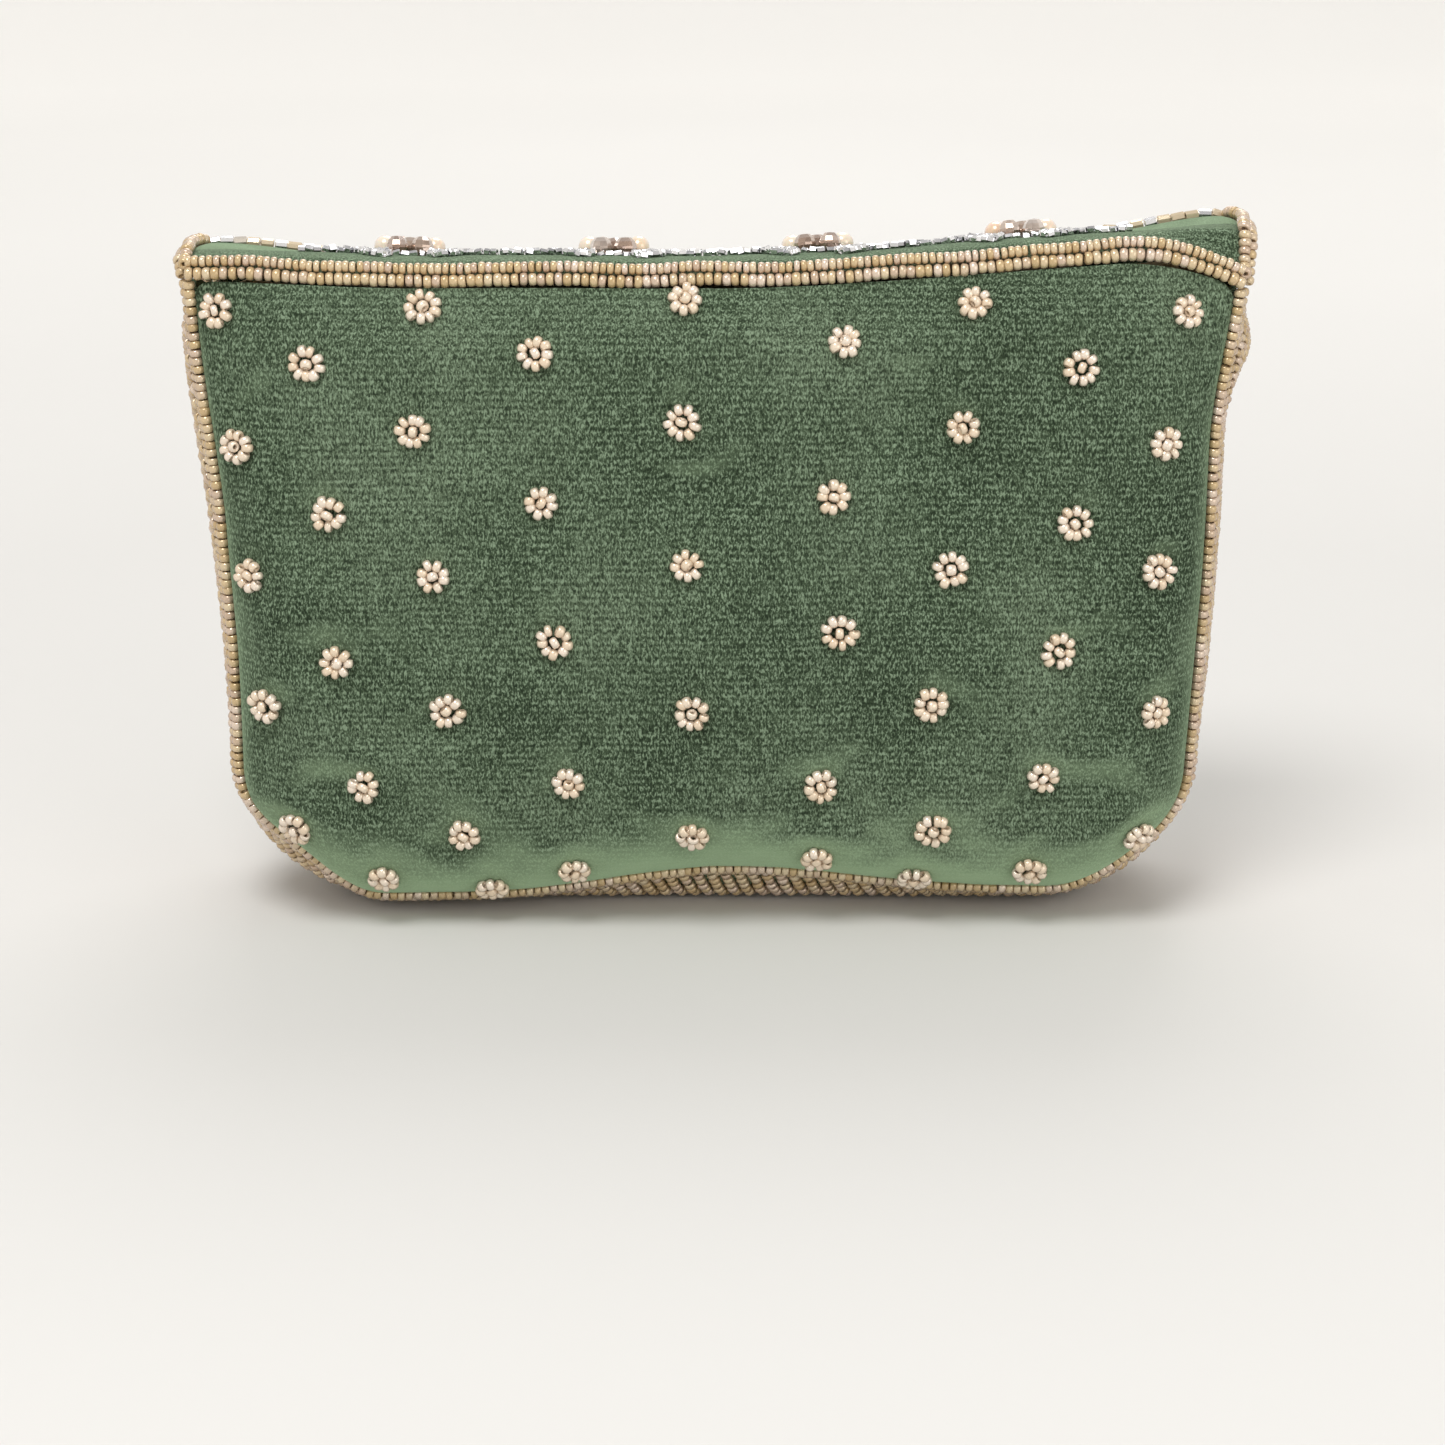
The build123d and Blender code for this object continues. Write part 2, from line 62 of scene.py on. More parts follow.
base_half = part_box("base_board")[1].x
STRIP_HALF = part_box("flap_top_velvet")[1].x
hinge_low, hinge_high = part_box("hinge_beads_lower")
snap_low, snap_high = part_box("snap_socket")
snap_z = (snap_low.z + snap_high.z) / 2

CORNER = 0.026  # radius of the two lower corners
SEAM = front_low.y  # distance of both panels' seams from the middle
FOOT = back_low.z
BODY_TOP = back_high.z
MOUTH_TOP = front_high.z

VELVET = 0.0008  # the skin's thickness
SKIN_STEP, SKIN_STEP_QUICK = 0.0013, 0.0026  # between the points of a velvet skin
BOARD = 0.0014
SATIN = 0.0004
BACK_DEPTH = 0.0114  # how far the padded back stands out from its seam
BACK_FLATTER = 0.45  # the share of it that is missing near the top
BACK_ROUNDS = (0.019, 0.014, 0.019, 0.012)  # width of the rounded rim: left, right, foot, top
FRONT_ROUNDS = (0.013, 0.013, 0.009, 0.010)
FRONT_DEPTH = front_high.y - SEAM - 0.0001
LINING = 0.0157  # the lining's back and front, from the middle
LINING_GAP = 0.0044  # from the gusset's velvet to its lining

BEAD_R = 0.0011
BEAD_STEP = 0.00146  # one bead to the next along a string
ROW_SLANT = math.radians(62)  # of the gusset's bead rows, from its length
BEADED_HALF = 0.0143
BEADED_SHORT = 0.007

FLAP_RADIUS = 0.030
FLAP_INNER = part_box("flap_front_lining")[0].y  # the flap front's inner face
FLAP_SPLIT = 0.004  # where, on the strip, the rear velvet ends and the front velvet begins
STRIP_DEPTH = 0.0023
FLAP_DEPTH = 0.0046

# the strip's and the fold's inner face, from the back seam over the mouth and down, as (y, z)
FLAP_PROFILE = (
    (-0.0174, 0.1146), (-0.0120, 0.1148), (0.0000, 0.1143), (0.0120, 0.1132), (0.0188, 0.1121),
    (0.0225, 0.1095), (0.0242, 0.1058), (0.0248, 0.1012), (FLAP_INNER, 0.0965)
)

# bead flowers: the rows' heights, and each column's distance from the middle at the top and at the foot
FLOWER_ROWS = (0.1106, 0.1020, 0.0890, 0.0773, 0.0659, 0.0532, 0.0418, 0.0282, 0.0184, 0.0095)
FLOWER_COLUMNS = (
    ((-0.0838, -0.0758), (-0.0515, -0.0435), (-0.0048, -0.0042), (0.0437, 0.0383), (0.0797, 0.0748)),
    ((-0.0693, -0.0585), (-0.0303, -0.0245), (0.0222, 0.0185), (0.0635, 0.0557)),
)
# how far some flowers, by row and column, are sewn off their lattice, in X and Z
FLOWER_SHIFTS = {
    (0, 1): (0.0026, 0.0), (0, 3): (0.0, -0.0024), (2, 0): (0.0018, 0.0), (2, 1): (0.0, 0.0016),
    (4, 4): (-0.0022, 0.0020), (5, 0): (-0.0026, -0.0022), (5, 2): (0.0012, 0.0026),
    (6, 3): (-0.0026, 0.0014), (7, 3): (0.0, 0.0024), (8, 0): (0.0034, -0.0012),
    (8, 2): (0.0009, -0.0026), (8, 4): (0.0, -0.0024)
}
FLOWER_FOOT = (-0.0395, 0.0360)
FLOWER_FOOT_Z = 0.0063
FLOWER_HIGHEST = 0.1110
FLOWER_RING = 0.00208
FLOWER_BEAD_R, FLOWER_BEAD_LENGTH = 0.00104, 0.00150
FLOWER_DIMPLE, FLOWER_DIMPLE_R = 0.0006, 0.0042  # how far a flower's stitches pull the padding in

STONE_R = 0.0020
ROSE_RING = 0.0042
ROSE_STEP = 0.0345
ROSE_PEARLS = (0, 60, 120, 180)
ROSE_CRYSTALS = (240, 300)
STRIP_ROSE_Y = 0.0105
STRIP_ROSES = (-1.5, -0.5, 0.5, 1.5)  # in steps
FRONT_ROSES = ((0.093, (-2, -1, 0, 1, 2)), (0.070, (-1.5, -0.5, 0.5, 1.5)), (0.051, (-1, 0, 1)))


# ---- small maths --------------------------------------------------------------------------------------
def smooth(t):
    t = np.clip(t, 0, 1)
    return t * t * (3 - 2 * t)


def dome(t):
    """A quarter round: 0 at the rim, 1 from t = 1 on."""
    return np.sqrt(np.clip(1 - (1 - np.clip(t, 0, 1)) ** 2, 0, 1))


def unit(v):
    return v / np.maximum(np.linalg.norm(v, axis=-1, keepdims=True), 1e-12)


def swell(a, b, size, seed, waves=8):
    """Soft random relief between about -1 and 1, with features of about that size."""
    total = np.zeros(np.broadcast(a, b).shape)
    for turn, phase, stretch in np.random.default_rng(seed).random((waves, 3)):
        pace = 2 * math.pi / size * (0.6 + 0.8 * stretch)
        angle = 2 * math.pi * turn
        total += np.cos(pace * (a * math.cos(angle) + b * math.sin(angle)) + 2 * math.pi * phase)
    return total / math.sqrt(waves)


def curve_through(points, step):
    """A smooth line through a few points, sampled at about that step."""
    p = np.array(points, float)
    p = np.vstack([2 * p[0] - p[1], p, 2 * p[-1] - p[-2]])
    line = []
    for before, start, end, after in zip(p, p[1:], p[2:], p[3:]):
        n = max(2, math.ceil(np.linalg.norm(end - start) / step))
        t = np.arange(n)[:, None] / n
        line.append(
            0.5
            * (
                2 * start
                + (end - before) * t
                + (2 * before - 5 * start + 4 * end - after) * t**2
                + (3 * start - before - 3 * end + after) * t**3
            )
        )
    return np.vstack([*line, p[-2]])


def run_of(points):
    """How far along a line each of its points is."""
    return np.r_[0, np.cumsum(np.linalg.norm(np.diff(points, axis=0), axis=1))]


def walk(points, step):
    """Places one step apart along a line, and the line's direction at each."""
    lengths = run_of(points)
    count = max(2, round(lengths[-1] / step))
    at = (np.arange(count) + 0.5) * lengths[-1] / count

    def place(s):
        return np.stack([np.interp(s, lengths, points[:, k]) for k in range(3)], axis=1)

    return place(at), unit(place(at + step / 3) - place(at - step / 3))


def between(grid, i, j):
    """A grid's values at fractional rows i and columns j."""
    low_i = np.minimum(i.astype(int), grid.shape[0] - 2)
    low_j = np.minimum(j.astype(int), grid.shape[1] - 2)
    a, b = i - low_i, j - low_j
    if grid.ndim == 3:
        a, b = a[..., None], b[..., None]
    near = grid[low_i, low_j] * (1 - b) + grid[low_i, low_j + 1] * b
    far = grid[low_i + 1, low_j] * (1 - b) + grid[low_i + 1, low_j + 1] * b
    return near * (1 - a) + far * a


# ---- the bag's slump ----------------------------------------------------------------------------------
def near_top(z):
    return smooth((z - 0.050) / (BODY_TOP - 0.050))


def top_lift(x):
    """How much higher the bag's top stands than the straight frame's, from left to right."""
    return 0.0012 + 0.0050 * smooth(x / 0.092) + 0.0010 * smooth((-x - 0.050) / 0.035)


def drape(points, mouth=False):
    """Moves points of the straight frame to the bag as it stands: the right top corner stands higher, the
    back seam drops at that corner, the ridge's ends turn up and the foot's edges lift between two lobes.
    mouth says that they are the body's, whose front edge dips under the flap; the flap's own ridge sinks
    less and spreads sideways."""
    p = np.array(points, float)
    x, y, z = p[..., 0], p[..., 1], p[..., 2]
    lift = top_lift(x) + 0.0018 * smooth((np.abs(x) - 0.058) / 0.030) * smooth(y / 0.018)
    if not mouth:
        lift = lift - (0.0021 - 0.0009 * smooth((x - 0.070) / 0.015)) * smooth((y + 0.012) / 0.028)
    corner = 0.0056 * np.clip((x - 0.066) / 0.023, 0, 1) ** 2 * smooth((-y - 0.0120) / 0.0045)
    low = smooth((0.030 - z) / 0.026) * smooth((np.abs(y) - 0.010) / 0.006)
    rise = 0.0018 + 0.0040 * np.exp(-((x - 0.004) ** 2) / 0.030**2) - 0.0012 * smooth(-x / 0.04)
    rise = rise + 0.0048 * smooth((-x - 0.060) / 0.018) + 0.0018 * smooth((x - 0.062) / 0.018)
    dip = 0.0046 * smooth((y + 0.006) / 0.020) * smooth((z - 0.090) / 0.018) if mouth else 0.0
    wide = smooth((z - 0.084) / 0.030)
    left_waist = 0.0013 * smooth((0.103 - z) / 0.032) * smooth((z - 0.018) / 0.035)
    waist = np.where(x < 0, left_waist, 0.0010 * np.exp(-(((z - 0.092) / 0.018) ** 2)))
    spread = 0.0
    if not mouth:
        over = smooth((y + 0.016) / 0.032) * (1 - 0.3 * smooth((y - 0.010) / 0.010))
        spread = 0.0044 * over * smooth((z - 0.070) / 0.035)
    p[..., 0] = x + x / 0.086 * (0.0004 + 0.0008 * wide - waist + spread) - 0.0005 * (1 - wide)
    p[..., 2] = z + near_top(z) * (lift - corner) + low * rise - dip
    return p


# ---- outlines -----------------------------------------------------------------------------------------
class Shield:
    """A straight top, sloping sides and two round lower corners, in X and Z."""

    def __init__(self, top, foot, wide, narrow, radius, top_radius=0.003):
        self.top, self.foot, self.radius, self.top_radius = top, foot, radius, top_radius
        self.wide, self.narrow = wide, narrow

    def shrunk(self, inset):
        top_radius = max(self.top_radius - inset, 0.0004)
        return Shield(
            self.top - inset, self.foot + inset, self.wide - inset, self.narrow - inset,
            self.radius - inset, top_radius
        )

    def side(self, z):
        return self.narrow + (self.wide - self.narrow) * (z - self.foot) / (self.top - self.foot)

    def half(self, z):
        """Half the width at height z."""
        low, high = self.foot + self.radius, self.top - self.top_radius
        dropped = np.clip(low - z, 0, self.radius)
        raised = np.clip(z - high, 0, self.top_radius)
        arc = self.side(low) - self.radius + np.sqrt(self.radius**2 - dropped**2)
        cap = self.side(high) - self.top_radius + np.sqrt(self.top_radius**2 - raised**2)
        return np.where(z < low, arc, np.where(z > high, cap, self.side(z)))

    def heights(self, step):
        """Row heights, closer together round the corners."""
        round_rows = max(6, math.ceil(self.radius * math.pi / 2 / step))
        turn = np.linspace(0, math.pi / 2, round_rows, endpoint=False)
        low, high = self.foot + self.radius, self.top - self.top_radius
        middle = np.linspace(low, high, max(3, math.ceil((high - low) / step)), endpoint=False)
        cap = np.linspace(0, math.pi / 2, 5)
        return np.r_[
            self.foot + self.radius * (1 - np.cos(turn)), middle, high + self.top_radius * np.sin(cap)
        ]

    def rim(self, x, z):
        """Distance from sides and foot, share of the turn from side to foot, distance from the top."""
        low = self.foot + self.radius
        out, down = np.abs(x) - (self.side(low) - self.radius), low - z
        corner = (out > 0) & (down > 0)
        straight = np.where(down > 0, z - self.foot, self.side(z) - np.abs(x))
        distance = np.where(corner, self.radius - np.hypot(out, down), straight)
        turn = np.where(corner, np.arctan2(down, out) / (math.pi / 2), np.where(down > 0, 1.0, 0.0))
        return distance, turn, self.top - z

    def line(self, out, step=0.0005):
        """The line out of the outline by out, down the left side, along the foot and up the right."""
        low, r = self.foot + self.radius, self.radius
        centre = self.side(low) - r
        turn = np.linspace(0, math.pi / 2, math.ceil(r * math.pi / 2 / step))
        z = np.linspace(self.top, low, math.ceil((self.top - low) / step), endpoint=False)
        side = np.stack([-self.side(z) - out, z], axis=1)
        arc = np.stack([-centre - (r + out) * np.cos(turn), low - (r + out) * np.sin(turn)], axis=1)
        x = np.linspace(-centre, 0, math.ceil(centre / step))[1:]
        foot = np.stack([x, np.full(len(x), self.foot - out)], axis=1)
        left = np.vstack([side, arc, foot])
        return np.vstack([left, (left * (-1, 1))[-2::-1]])


FOOT_HALF = base_half + CORNER
BODY = Shield(BODY_TOP, FOOT, back_high.x, FOOT_HALF, CORNER)
MOUTH = Shield(MOUTH_TOP, FOOT, front_high.x, FOOT_HALF, CORNER)
FLAP = Shield(flap_high.z, flap_low.z, flap_high.x, flap_high.x - 0.0032, FLAP_RADIUS, 0.0001)


def columns(step, half):
    """Shares of the half width, closer together towards the sides."""
    s = np.linspace(-1, 1, 2 * math.ceil(half / step) + 1)
    return 0.5 * s + 0.5 * np.sin(s * math.pi / 2)


# ---- meshes -------------------------------------------------------------------------------------------
def make_piece(name, vertices, quads, material, shade_smooth=True):
    mesh = bpy.data.meshes.new(name)
    quads = np.asarray(quads, np.int32)
    mesh.vertices.add(len(vertices))
    mesh.vertices.foreach_set("co", np.asarray(vertices, np.float32).ravel())
    mesh.loops.add(quads.size)
    mesh.loops.foreach_set("vertex_index", quads.ravel())
    mesh.polygons.add(len(quads))
    mesh.polygons.foreach_set("loop_start", np.arange(0, quads.size, 4, dtype=np.int32))
    mesh.polygons.foreach_set("use_smooth", np.full(len(quads), shade_smooth))
    mesh.update(calc_edges=True)
    mesh.validate()
    mesh.materials.append(material)
    piece = bpy.data.objects.new(name, mesh)
    bpy.context.scene.collection.objects.link(piece)
    return piece


def crease(piece, rim):
    """Keeps the edges between the marked points sharp, so that a sheet shades right up to its rim."""
    mesh = piece.data
    ends = np.zeros(len(mesh.edges) * 2, np.int32)
    mesh.edges.foreach_get("vertices", ends)
    ends = ends.reshape(-1, 2)
    sharp = mesh.attributes.new("sharp_edge", "BOOLEAN", "EDGE")
    sharp.data.foreach_set("value", rim[ends[:, 0]] & rim[ends[:, 1]])


def grid_quads(rows, cols):
    i = np.arange((rows - 1) * (cols - 1))
    corner = i // (cols - 1) * cols + i % (cols - 1)
    return np.stack([corner, corner + 1, corner + cols + 1, corner + cols], axis=1)


def closed_sheet(name, outer, inner, material):
    """A closed sheet between two grids of points of the same rows and columns."""
    rows, cols = outer.shape[:2]
    count = rows * cols
    top = grid_quads(rows, cols)
    middle = top[len(top) // 2 + cols // 2]
    flat = outer.reshape(-1, 3)
    across = np.cross(flat[middle[1]] - flat[middle[0]], flat[middle[3]] - flat[middle[0]])
    if across @ (flat[middle[0]] - inner.reshape(-1, 3)[middle[0]]) < 0:
        top = top[:, ::-1]
    around = np.r_[
        np.arange(cols), np.arange(1, rows) * cols + cols - 1,
        (rows - 1) * cols + np.arange(cols - 2, -1, -1), np.arange(rows - 2, 0, -1) * cols
    ]
    after = np.roll(around, -1)
    wall = np.stack([around, after, after + count, around + count], axis=1)
    edges = {(a, b) for a, b in zip(top.ravel(), np.roll(top, -1, axis=1).ravel())}
    if (around[0], after[0]) in edges:
        wall = wall[:, ::-1]
    points = np.vstack([flat, inner.reshape(-1, 3)])
    piece = make_piece(name, points, np.vstack([top, top[:, ::-1] + count, wall]), material)
    rim = np.zeros(2 * count, bool)
    rim[np.r_[around, around + count]] = True
    crease(piece, rim)
    return piece


def finished(piece, body, slot, *nodes, fill=None):
    """Gives a piece its body and hides the CAD nodes it stands for. The slot and fill arguments are not
    used.
    """
    if body:
        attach(piece, body)
    if nodes:
        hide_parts(*nodes)
    return piece


# ---- beads --------------------------------------------------------------------------------------------
# profiles as (share of the radius, share of half the length), round the section
SEED = (
    (0.34, -0.66), (0.34, 0.66), (0.60, 0.98), (0.86, 0.80), (1.0, 0.30), (1.0, -0.30), (0.86, -0.80),
    (0.60, -0.98)
)
PLAIN_SEED = ((0.36, -0.66), (0.36, 0.66), (0.72, 0.96), (1.0, 0.34), (1.0, -0.34), (0.72, -0.96))
PEARL = tuple(
    (max(0.1, math.sin(math.radians(a))), -math.cos(math.radians(a))) for a in range(6, 175, 14)
)
CUT = ((0.3, -0.96), (0.3, 0.96), (0.8, 1.0), (1.0, 0.86), (1.0, -0.86), (0.8, -1.0))
CRYSTAL = (
    (0.12, -0.92), (0.12, 0.92), (0.50, 0.86), (0.84, 0.54), (1.0, 0.12), (1.0, -0.12), (0.84, -0.54),
    (0.50, -0.86)
)


class Beads:
    """Beads of one kind, gathered string by string and made into one piece."""

    def __init__(self, seed, radius=BEAD_R, length=BEAD_STEP, profile=SEED, sides=12, wobble=1.0):
        self.random = np.random.default_rng(seed)
        self.radius, self.length, self.profile, self.sides = radius, length, profile, sides
        self.wobble = wobble
        self.centres, self.axes = [], []

    def add(self, centres, axes):
        self.centres.append(np.atleast_2d(centres))
        self.axes.append(np.atleast_2d(axes))

    def string(self, line, step=BEAD_STEP):
        self.add(*walk(line, step))

    def build(self, name, material, shade_smooth=True):
        centres, axes = np.vstack(self.centres), unit(np.vstack(self.axes))
        n, sides, around = len(centres), self.sides, len(self.profile)
        centres = centres + self.random.normal(0, 0.00005 * self.wobble, (n, 3))
        axes = unit(axes + self.random.normal(0, 0.07 * self.wobble, (n, 3)))
        radius = self.radius * (1 + self.random.normal(0, 0.030 * self.wobble, n))
        half = self.length / 2 * (1 + self.random.normal(0, 0.05 * self.wobble, n)) * 0.99
        helper = np.where(np.abs(axes[:, 2:]) < 0.8, [[0.0, 0.0, 1.0]], [[1.0, 0.0, 0.0]])
        u = unit(np.cross(axes, helper))
        v = np.cross(axes, u)
        turn = np.arange(sides) * 2 * math.pi / sides + self.random.random((n, 1)) * 2 * math.pi
        ring = np.cos(turn)[..., None] * u[:, None] + np.sin(turn)[..., None] * v[:, None]
        profile = np.array(self.profile)
        points = (
            centres[:, None, None]
            + ring[:, :, None] * (radius[:, None] * profile[:, 0])[:, None, :, None]
            + axes[:, None, None] * (half[:, None] * profile[:, 1])[:, None, :, None]
        )
        i, j = np.divmod(np.arange(sides * around), around)
        i2, j2 = (i + 1) % sides, (j + 1) % around
        one = np.stack([i * around + j, i2 * around + j, i2 * around + j2, i * around + j2], axis=1)
        quads = one[None] + (np.arange(n) * sides * around)[:, None, None]
        return make_piece(name, points.reshape(-1, 3), quads.reshape(-1, 4), material, shade_smooth)


# ---- fabric surfaces ----------------------------------------------------------------------------------
class Skin:
    """A fabric surface as a grid of points. A place on it is given by x and by its row's coordinate."""

    def __init__(self, points, rows, shares, half, outward):
        self.points, self.rows, self.shares, self.half = points, rows, shares, half
        normals = unit(np.cross(np.gradient(points, axis=1), np.gradient(points, axis=0)))
        middle = normals[normals.shape[0] // 2, normals.shape[1] // 2]
        self.normals = normals if middle @ outward > 0 else -normals

    def place(self, x, row, lift=0.0):
        """Points that far over the surface, and its normals there."""
        x, row = np.broadcast_arrays(np.asarray(x, float), np.asarray(row, float))
        i = np.interp(row, self.rows, np.arange(len(self.rows)))
        j = np.interp(x / self.half(row), self.shares, np.arange(len(self.shares)))
        normal = unit(between(self.normals, i, j))
        return between(self.points, i, j) + normal * lift, normal


def stacked(x, y, z):
    return np.stack(np.broadcast_arrays(x, y, z), axis=-1)


def level(height):
    """The face of a layer that is the same height everywhere."""
    return lambda x, row: height


def flower_places(shape, lowest, highest):
    """Where the bead flowers are on the straight frame: rows that arch up towards the mouth, each flower
    a little off its lattice."""
    random = np.random.default_rng(7)
    top, foot = FLOWER_ROWS[0], FLOWER_ROWS[-1]
    places = []
    for row, z in enumerate(FLOWER_ROWS):
        down = (top - z) / (top - foot)
        for column, (wide, narrow) in enumerate(FLOWER_COLUMNS[row % 2]):
            shift_x, shift_z = FLOWER_SHIFTS.get((row, column), (0.0, 0.0))
            x = wide + (narrow - wide) * down**1.2 + shift_x + random.normal(0, 0.0005)
            arch = 0.0022 * math.cos(2 * math.pi * (x - 0.005) / 0.19)
            arch -= 0.0024 * math.exp(-(((x - 0.0625) / 0.007) ** 2))
            high = z + arch * smooth((z - 0.035) / 0.05) - 0.45 * near_top(z) * (top_lift(x) - 0.0012)
            high = min(high + shift_z + random.normal(0, 0.0004), FLOWER_HIGHEST)
            if shape.rim(x, high)[0] > 0.0022 and lowest < high < highest:
                places.append((x, high))
    if lowest < FLOWER_FOOT_Z:
        places += [(x, FLOWER_FOOT_Z) for x in FLOWER_FOOT]
    return places


# ---- cloth blown up from inside -----------------------------------------------------------------------
class Puff:
    """How far a skin is lifted, by its rows and by shares of its half width."""

    def __init__(self, rows, shares, lift):
        fine_rows = np.linspace(rows[0], rows[-1], 4 * len(rows))
        fine_shares = np.linspace(-1, 1, 4 * len(shares))
        lift = np.stack([np.interp(fine_rows, rows, column) for column in lift.T], axis=1)
        lift = np.stack([np.interp(fine_shares, shares, row) for row in lift])
        for _ in range(5):
            lift = np.pad(lift, 1, "edge")
            lift = (lift[:-2] + 2 * lift[1:-1] + lift[2:]) / 4
            lift = (lift[:, :-2] + 2 * lift[:, 1:-1] + lift[:, 2:]) / 4
        self.rows, self.shares, self.lift = fine_rows, fine_shares, lift

    def at(self, share, row):
        share, row = np.broadcast_arrays(share, row)
        i = np.interp(row, self.rows, np.arange(len(self.rows)))
        j = np.interp(share, self.shares, np.arange(len(self.shares)))
        return between(self.lift, i, j)


CLOTH_FRAMES = 20
CLOTH_GRID = 0.0036
CLOTH_EXTRA = 0.035  # how much larger the skin is cut than the pad
CLOTH_PRESSURE = 4
BACK_PUFF, FRONT_PUFF = 0.0014, 0.0009  # the most that the cloth may add
SNAP_HELD_R = 0.011
FLOWER_HELD_R = 0.0028


def blown(outer, inner, rows, shares, outward, held, limit):
    """Blows a closed pad up with Blender's cloth. The skin is cut a little larger than the pad and sewn
    down at its rim and where held is 1. Returns how far it lifts outwards, at most by limit."""
    material = bpy.data.materials.new("cloth_trial")
    pad = closed_sheet("cloth_trial", outer, inner, material)
    count = held.size
    held = held.copy()
    held[[0, -1]] = 1
    held[:, [0, -1]] = 1
    group = pad.vertex_groups.new(name="sewn")
    for index, weight in enumerate(held.ravel()):
        group.add([index], float(weight), "REPLACE")
    group.add(list(range(count, 2 * count)), 1.0, "REPLACE")
    modifier = pad.modifiers.new("Cloth", "CLOTH")
    cloth = modifier.settings
    cloth.quality = 6
    cloth.mass = 0.15
    cloth.tension_stiffness = cloth.compression_stiffness = 12
    cloth.shear_stiffness = 6
    cloth.bending_stiffness = 0.4
    cloth.air_damping = 2
    cloth.vertex_group_mass = "sewn"
    cloth.shrink_min = -CLOTH_EXTRA
    cloth.use_pressure = True
    cloth.uniform_pressure_force = CLOTH_PRESSURE
    cloth.effector_weights.gravity = 0
    modifier.collision_settings.use_collision = False
    modifier.point_cache.frame_start = 1
    modifier.point_cache.frame_end = CLOTH_FRAMES
    for number in range(1, CLOTH_FRAMES + 1):
        bpy.context.scene.frame_set(number)
    moved = pad.evaluated_get(bpy.context.evaluated_depsgraph_get()).data
    points = np.zeros(len(moved.vertices) * 3)
    moved.vertices.foreach_get("co", points)
    shift = points.reshape(-1, 3)[:count].reshape(outer.shape) - outer
    mesh = pad.data
    bpy.data.objects.remove(pad)
    bpy.data.meshes.remove(mesh)
    bpy.data.materials.remove(material)
    bpy.context.scene.frame_set(1)
    return Puff(rows, shares, limit * np.tanh(shift @ outward / limit))


# ---- padded back and front ----------------------------------------------------------------------------
class Panel:
    """One padded panel: its outline, its depth and how round its rim is, at left, right, foot and top.
    flatter is the share of the depth that is missing near the top."""

    def __init__(self, shape, side, depth, flatter, rounds, flowers, seed):
        self.shape, self.side, self.depth, self.rounds = shape, side, depth, rounds
        self.flatter, self.flowers, self.seed = flatter, flowers, seed
        self.puff = None

    def height(self, x, z):
        """Of the velvet's face over the seam."""
        left, right, foot, top = self.rounds
        distance, turn, below = self.shape.rim(x, z)
        at_side = np.where(x < 0, left, right)
        edge = dome(distance / (at_side + (foot - at_side) * turn))
        cap = 0.30 + 0.70 * np.sin(math.pi / 2 * np.clip(below / top, 0, 1))
        full = 1 - self.flatter * smooth((z - 0.045) / 0.065)
        high = self.depth * full * edge * cap
        high = high + 0.0003 * swell(x, z, 0.045, self.seed) * edge * smooth(distance / 0.02)
        for flower_x, flower_z in self.flowers:
            away = np.hypot(x - flower_x, z - flower_z)
            high = high - FLOWER_DIMPLE * edge * np.exp(-((away / FLOWER_DIMPLE_R) ** 2))
        if self.puff:
            high = high + self.puff.at(x / self.shape.half(z), z)
        return np.maximum(high, 0.0)

    def blow_up(self, limit, also_held=()):
        """Runs the cloth on this panel's skin, sewn down at its rim, its flowers and the spots given."""
        rows, shares = self.shape.heights(CLOTH_GRID), columns(CLOTH_GRID, self.shape.wide)
        z = rows[:, None]
        x = self.shape.half(z) * shares
        held = np.zeros(x.shape)
        sewn = [(*flower, FLOWER_HELD_R) for flower in self.flowers]
        for spot_x, spot_z, reach in sewn + list(also_held):
            held = np.maximum(held, np.exp(-((np.hypot(x - spot_x, z - spot_z) / reach) ** 4)))
        outer = stacked(x, self.side * self.height(x, z), z)
        inner = stacked(x, -self.side * 0.001, z)
        self.puff = blown(outer, inner, rows, shares, np.array((0.0, self.side, 0.0)), held, limit)

    def layer(self, inset, step, raise_by):
        """Grid of points of a layer that is inset from the rim, raise_by over the seam."""
        rows = self.shape.heights(step)
        shares = columns(step, self.shape.wide)
        shape = self.shape.shrunk(inset) if inset else self.shape
        share = (rows - self.shape.foot) / (self.shape.top - self.shape.foot)
        z = (shape.foot + (shape.top - shape.foot) * share)[:, None]
        x = shape.half(z) * shares
        points = stacked(x, self.side * (SEAM + raise_by(x, z)), z)
        return drape(points, mouth=True), rows, shares


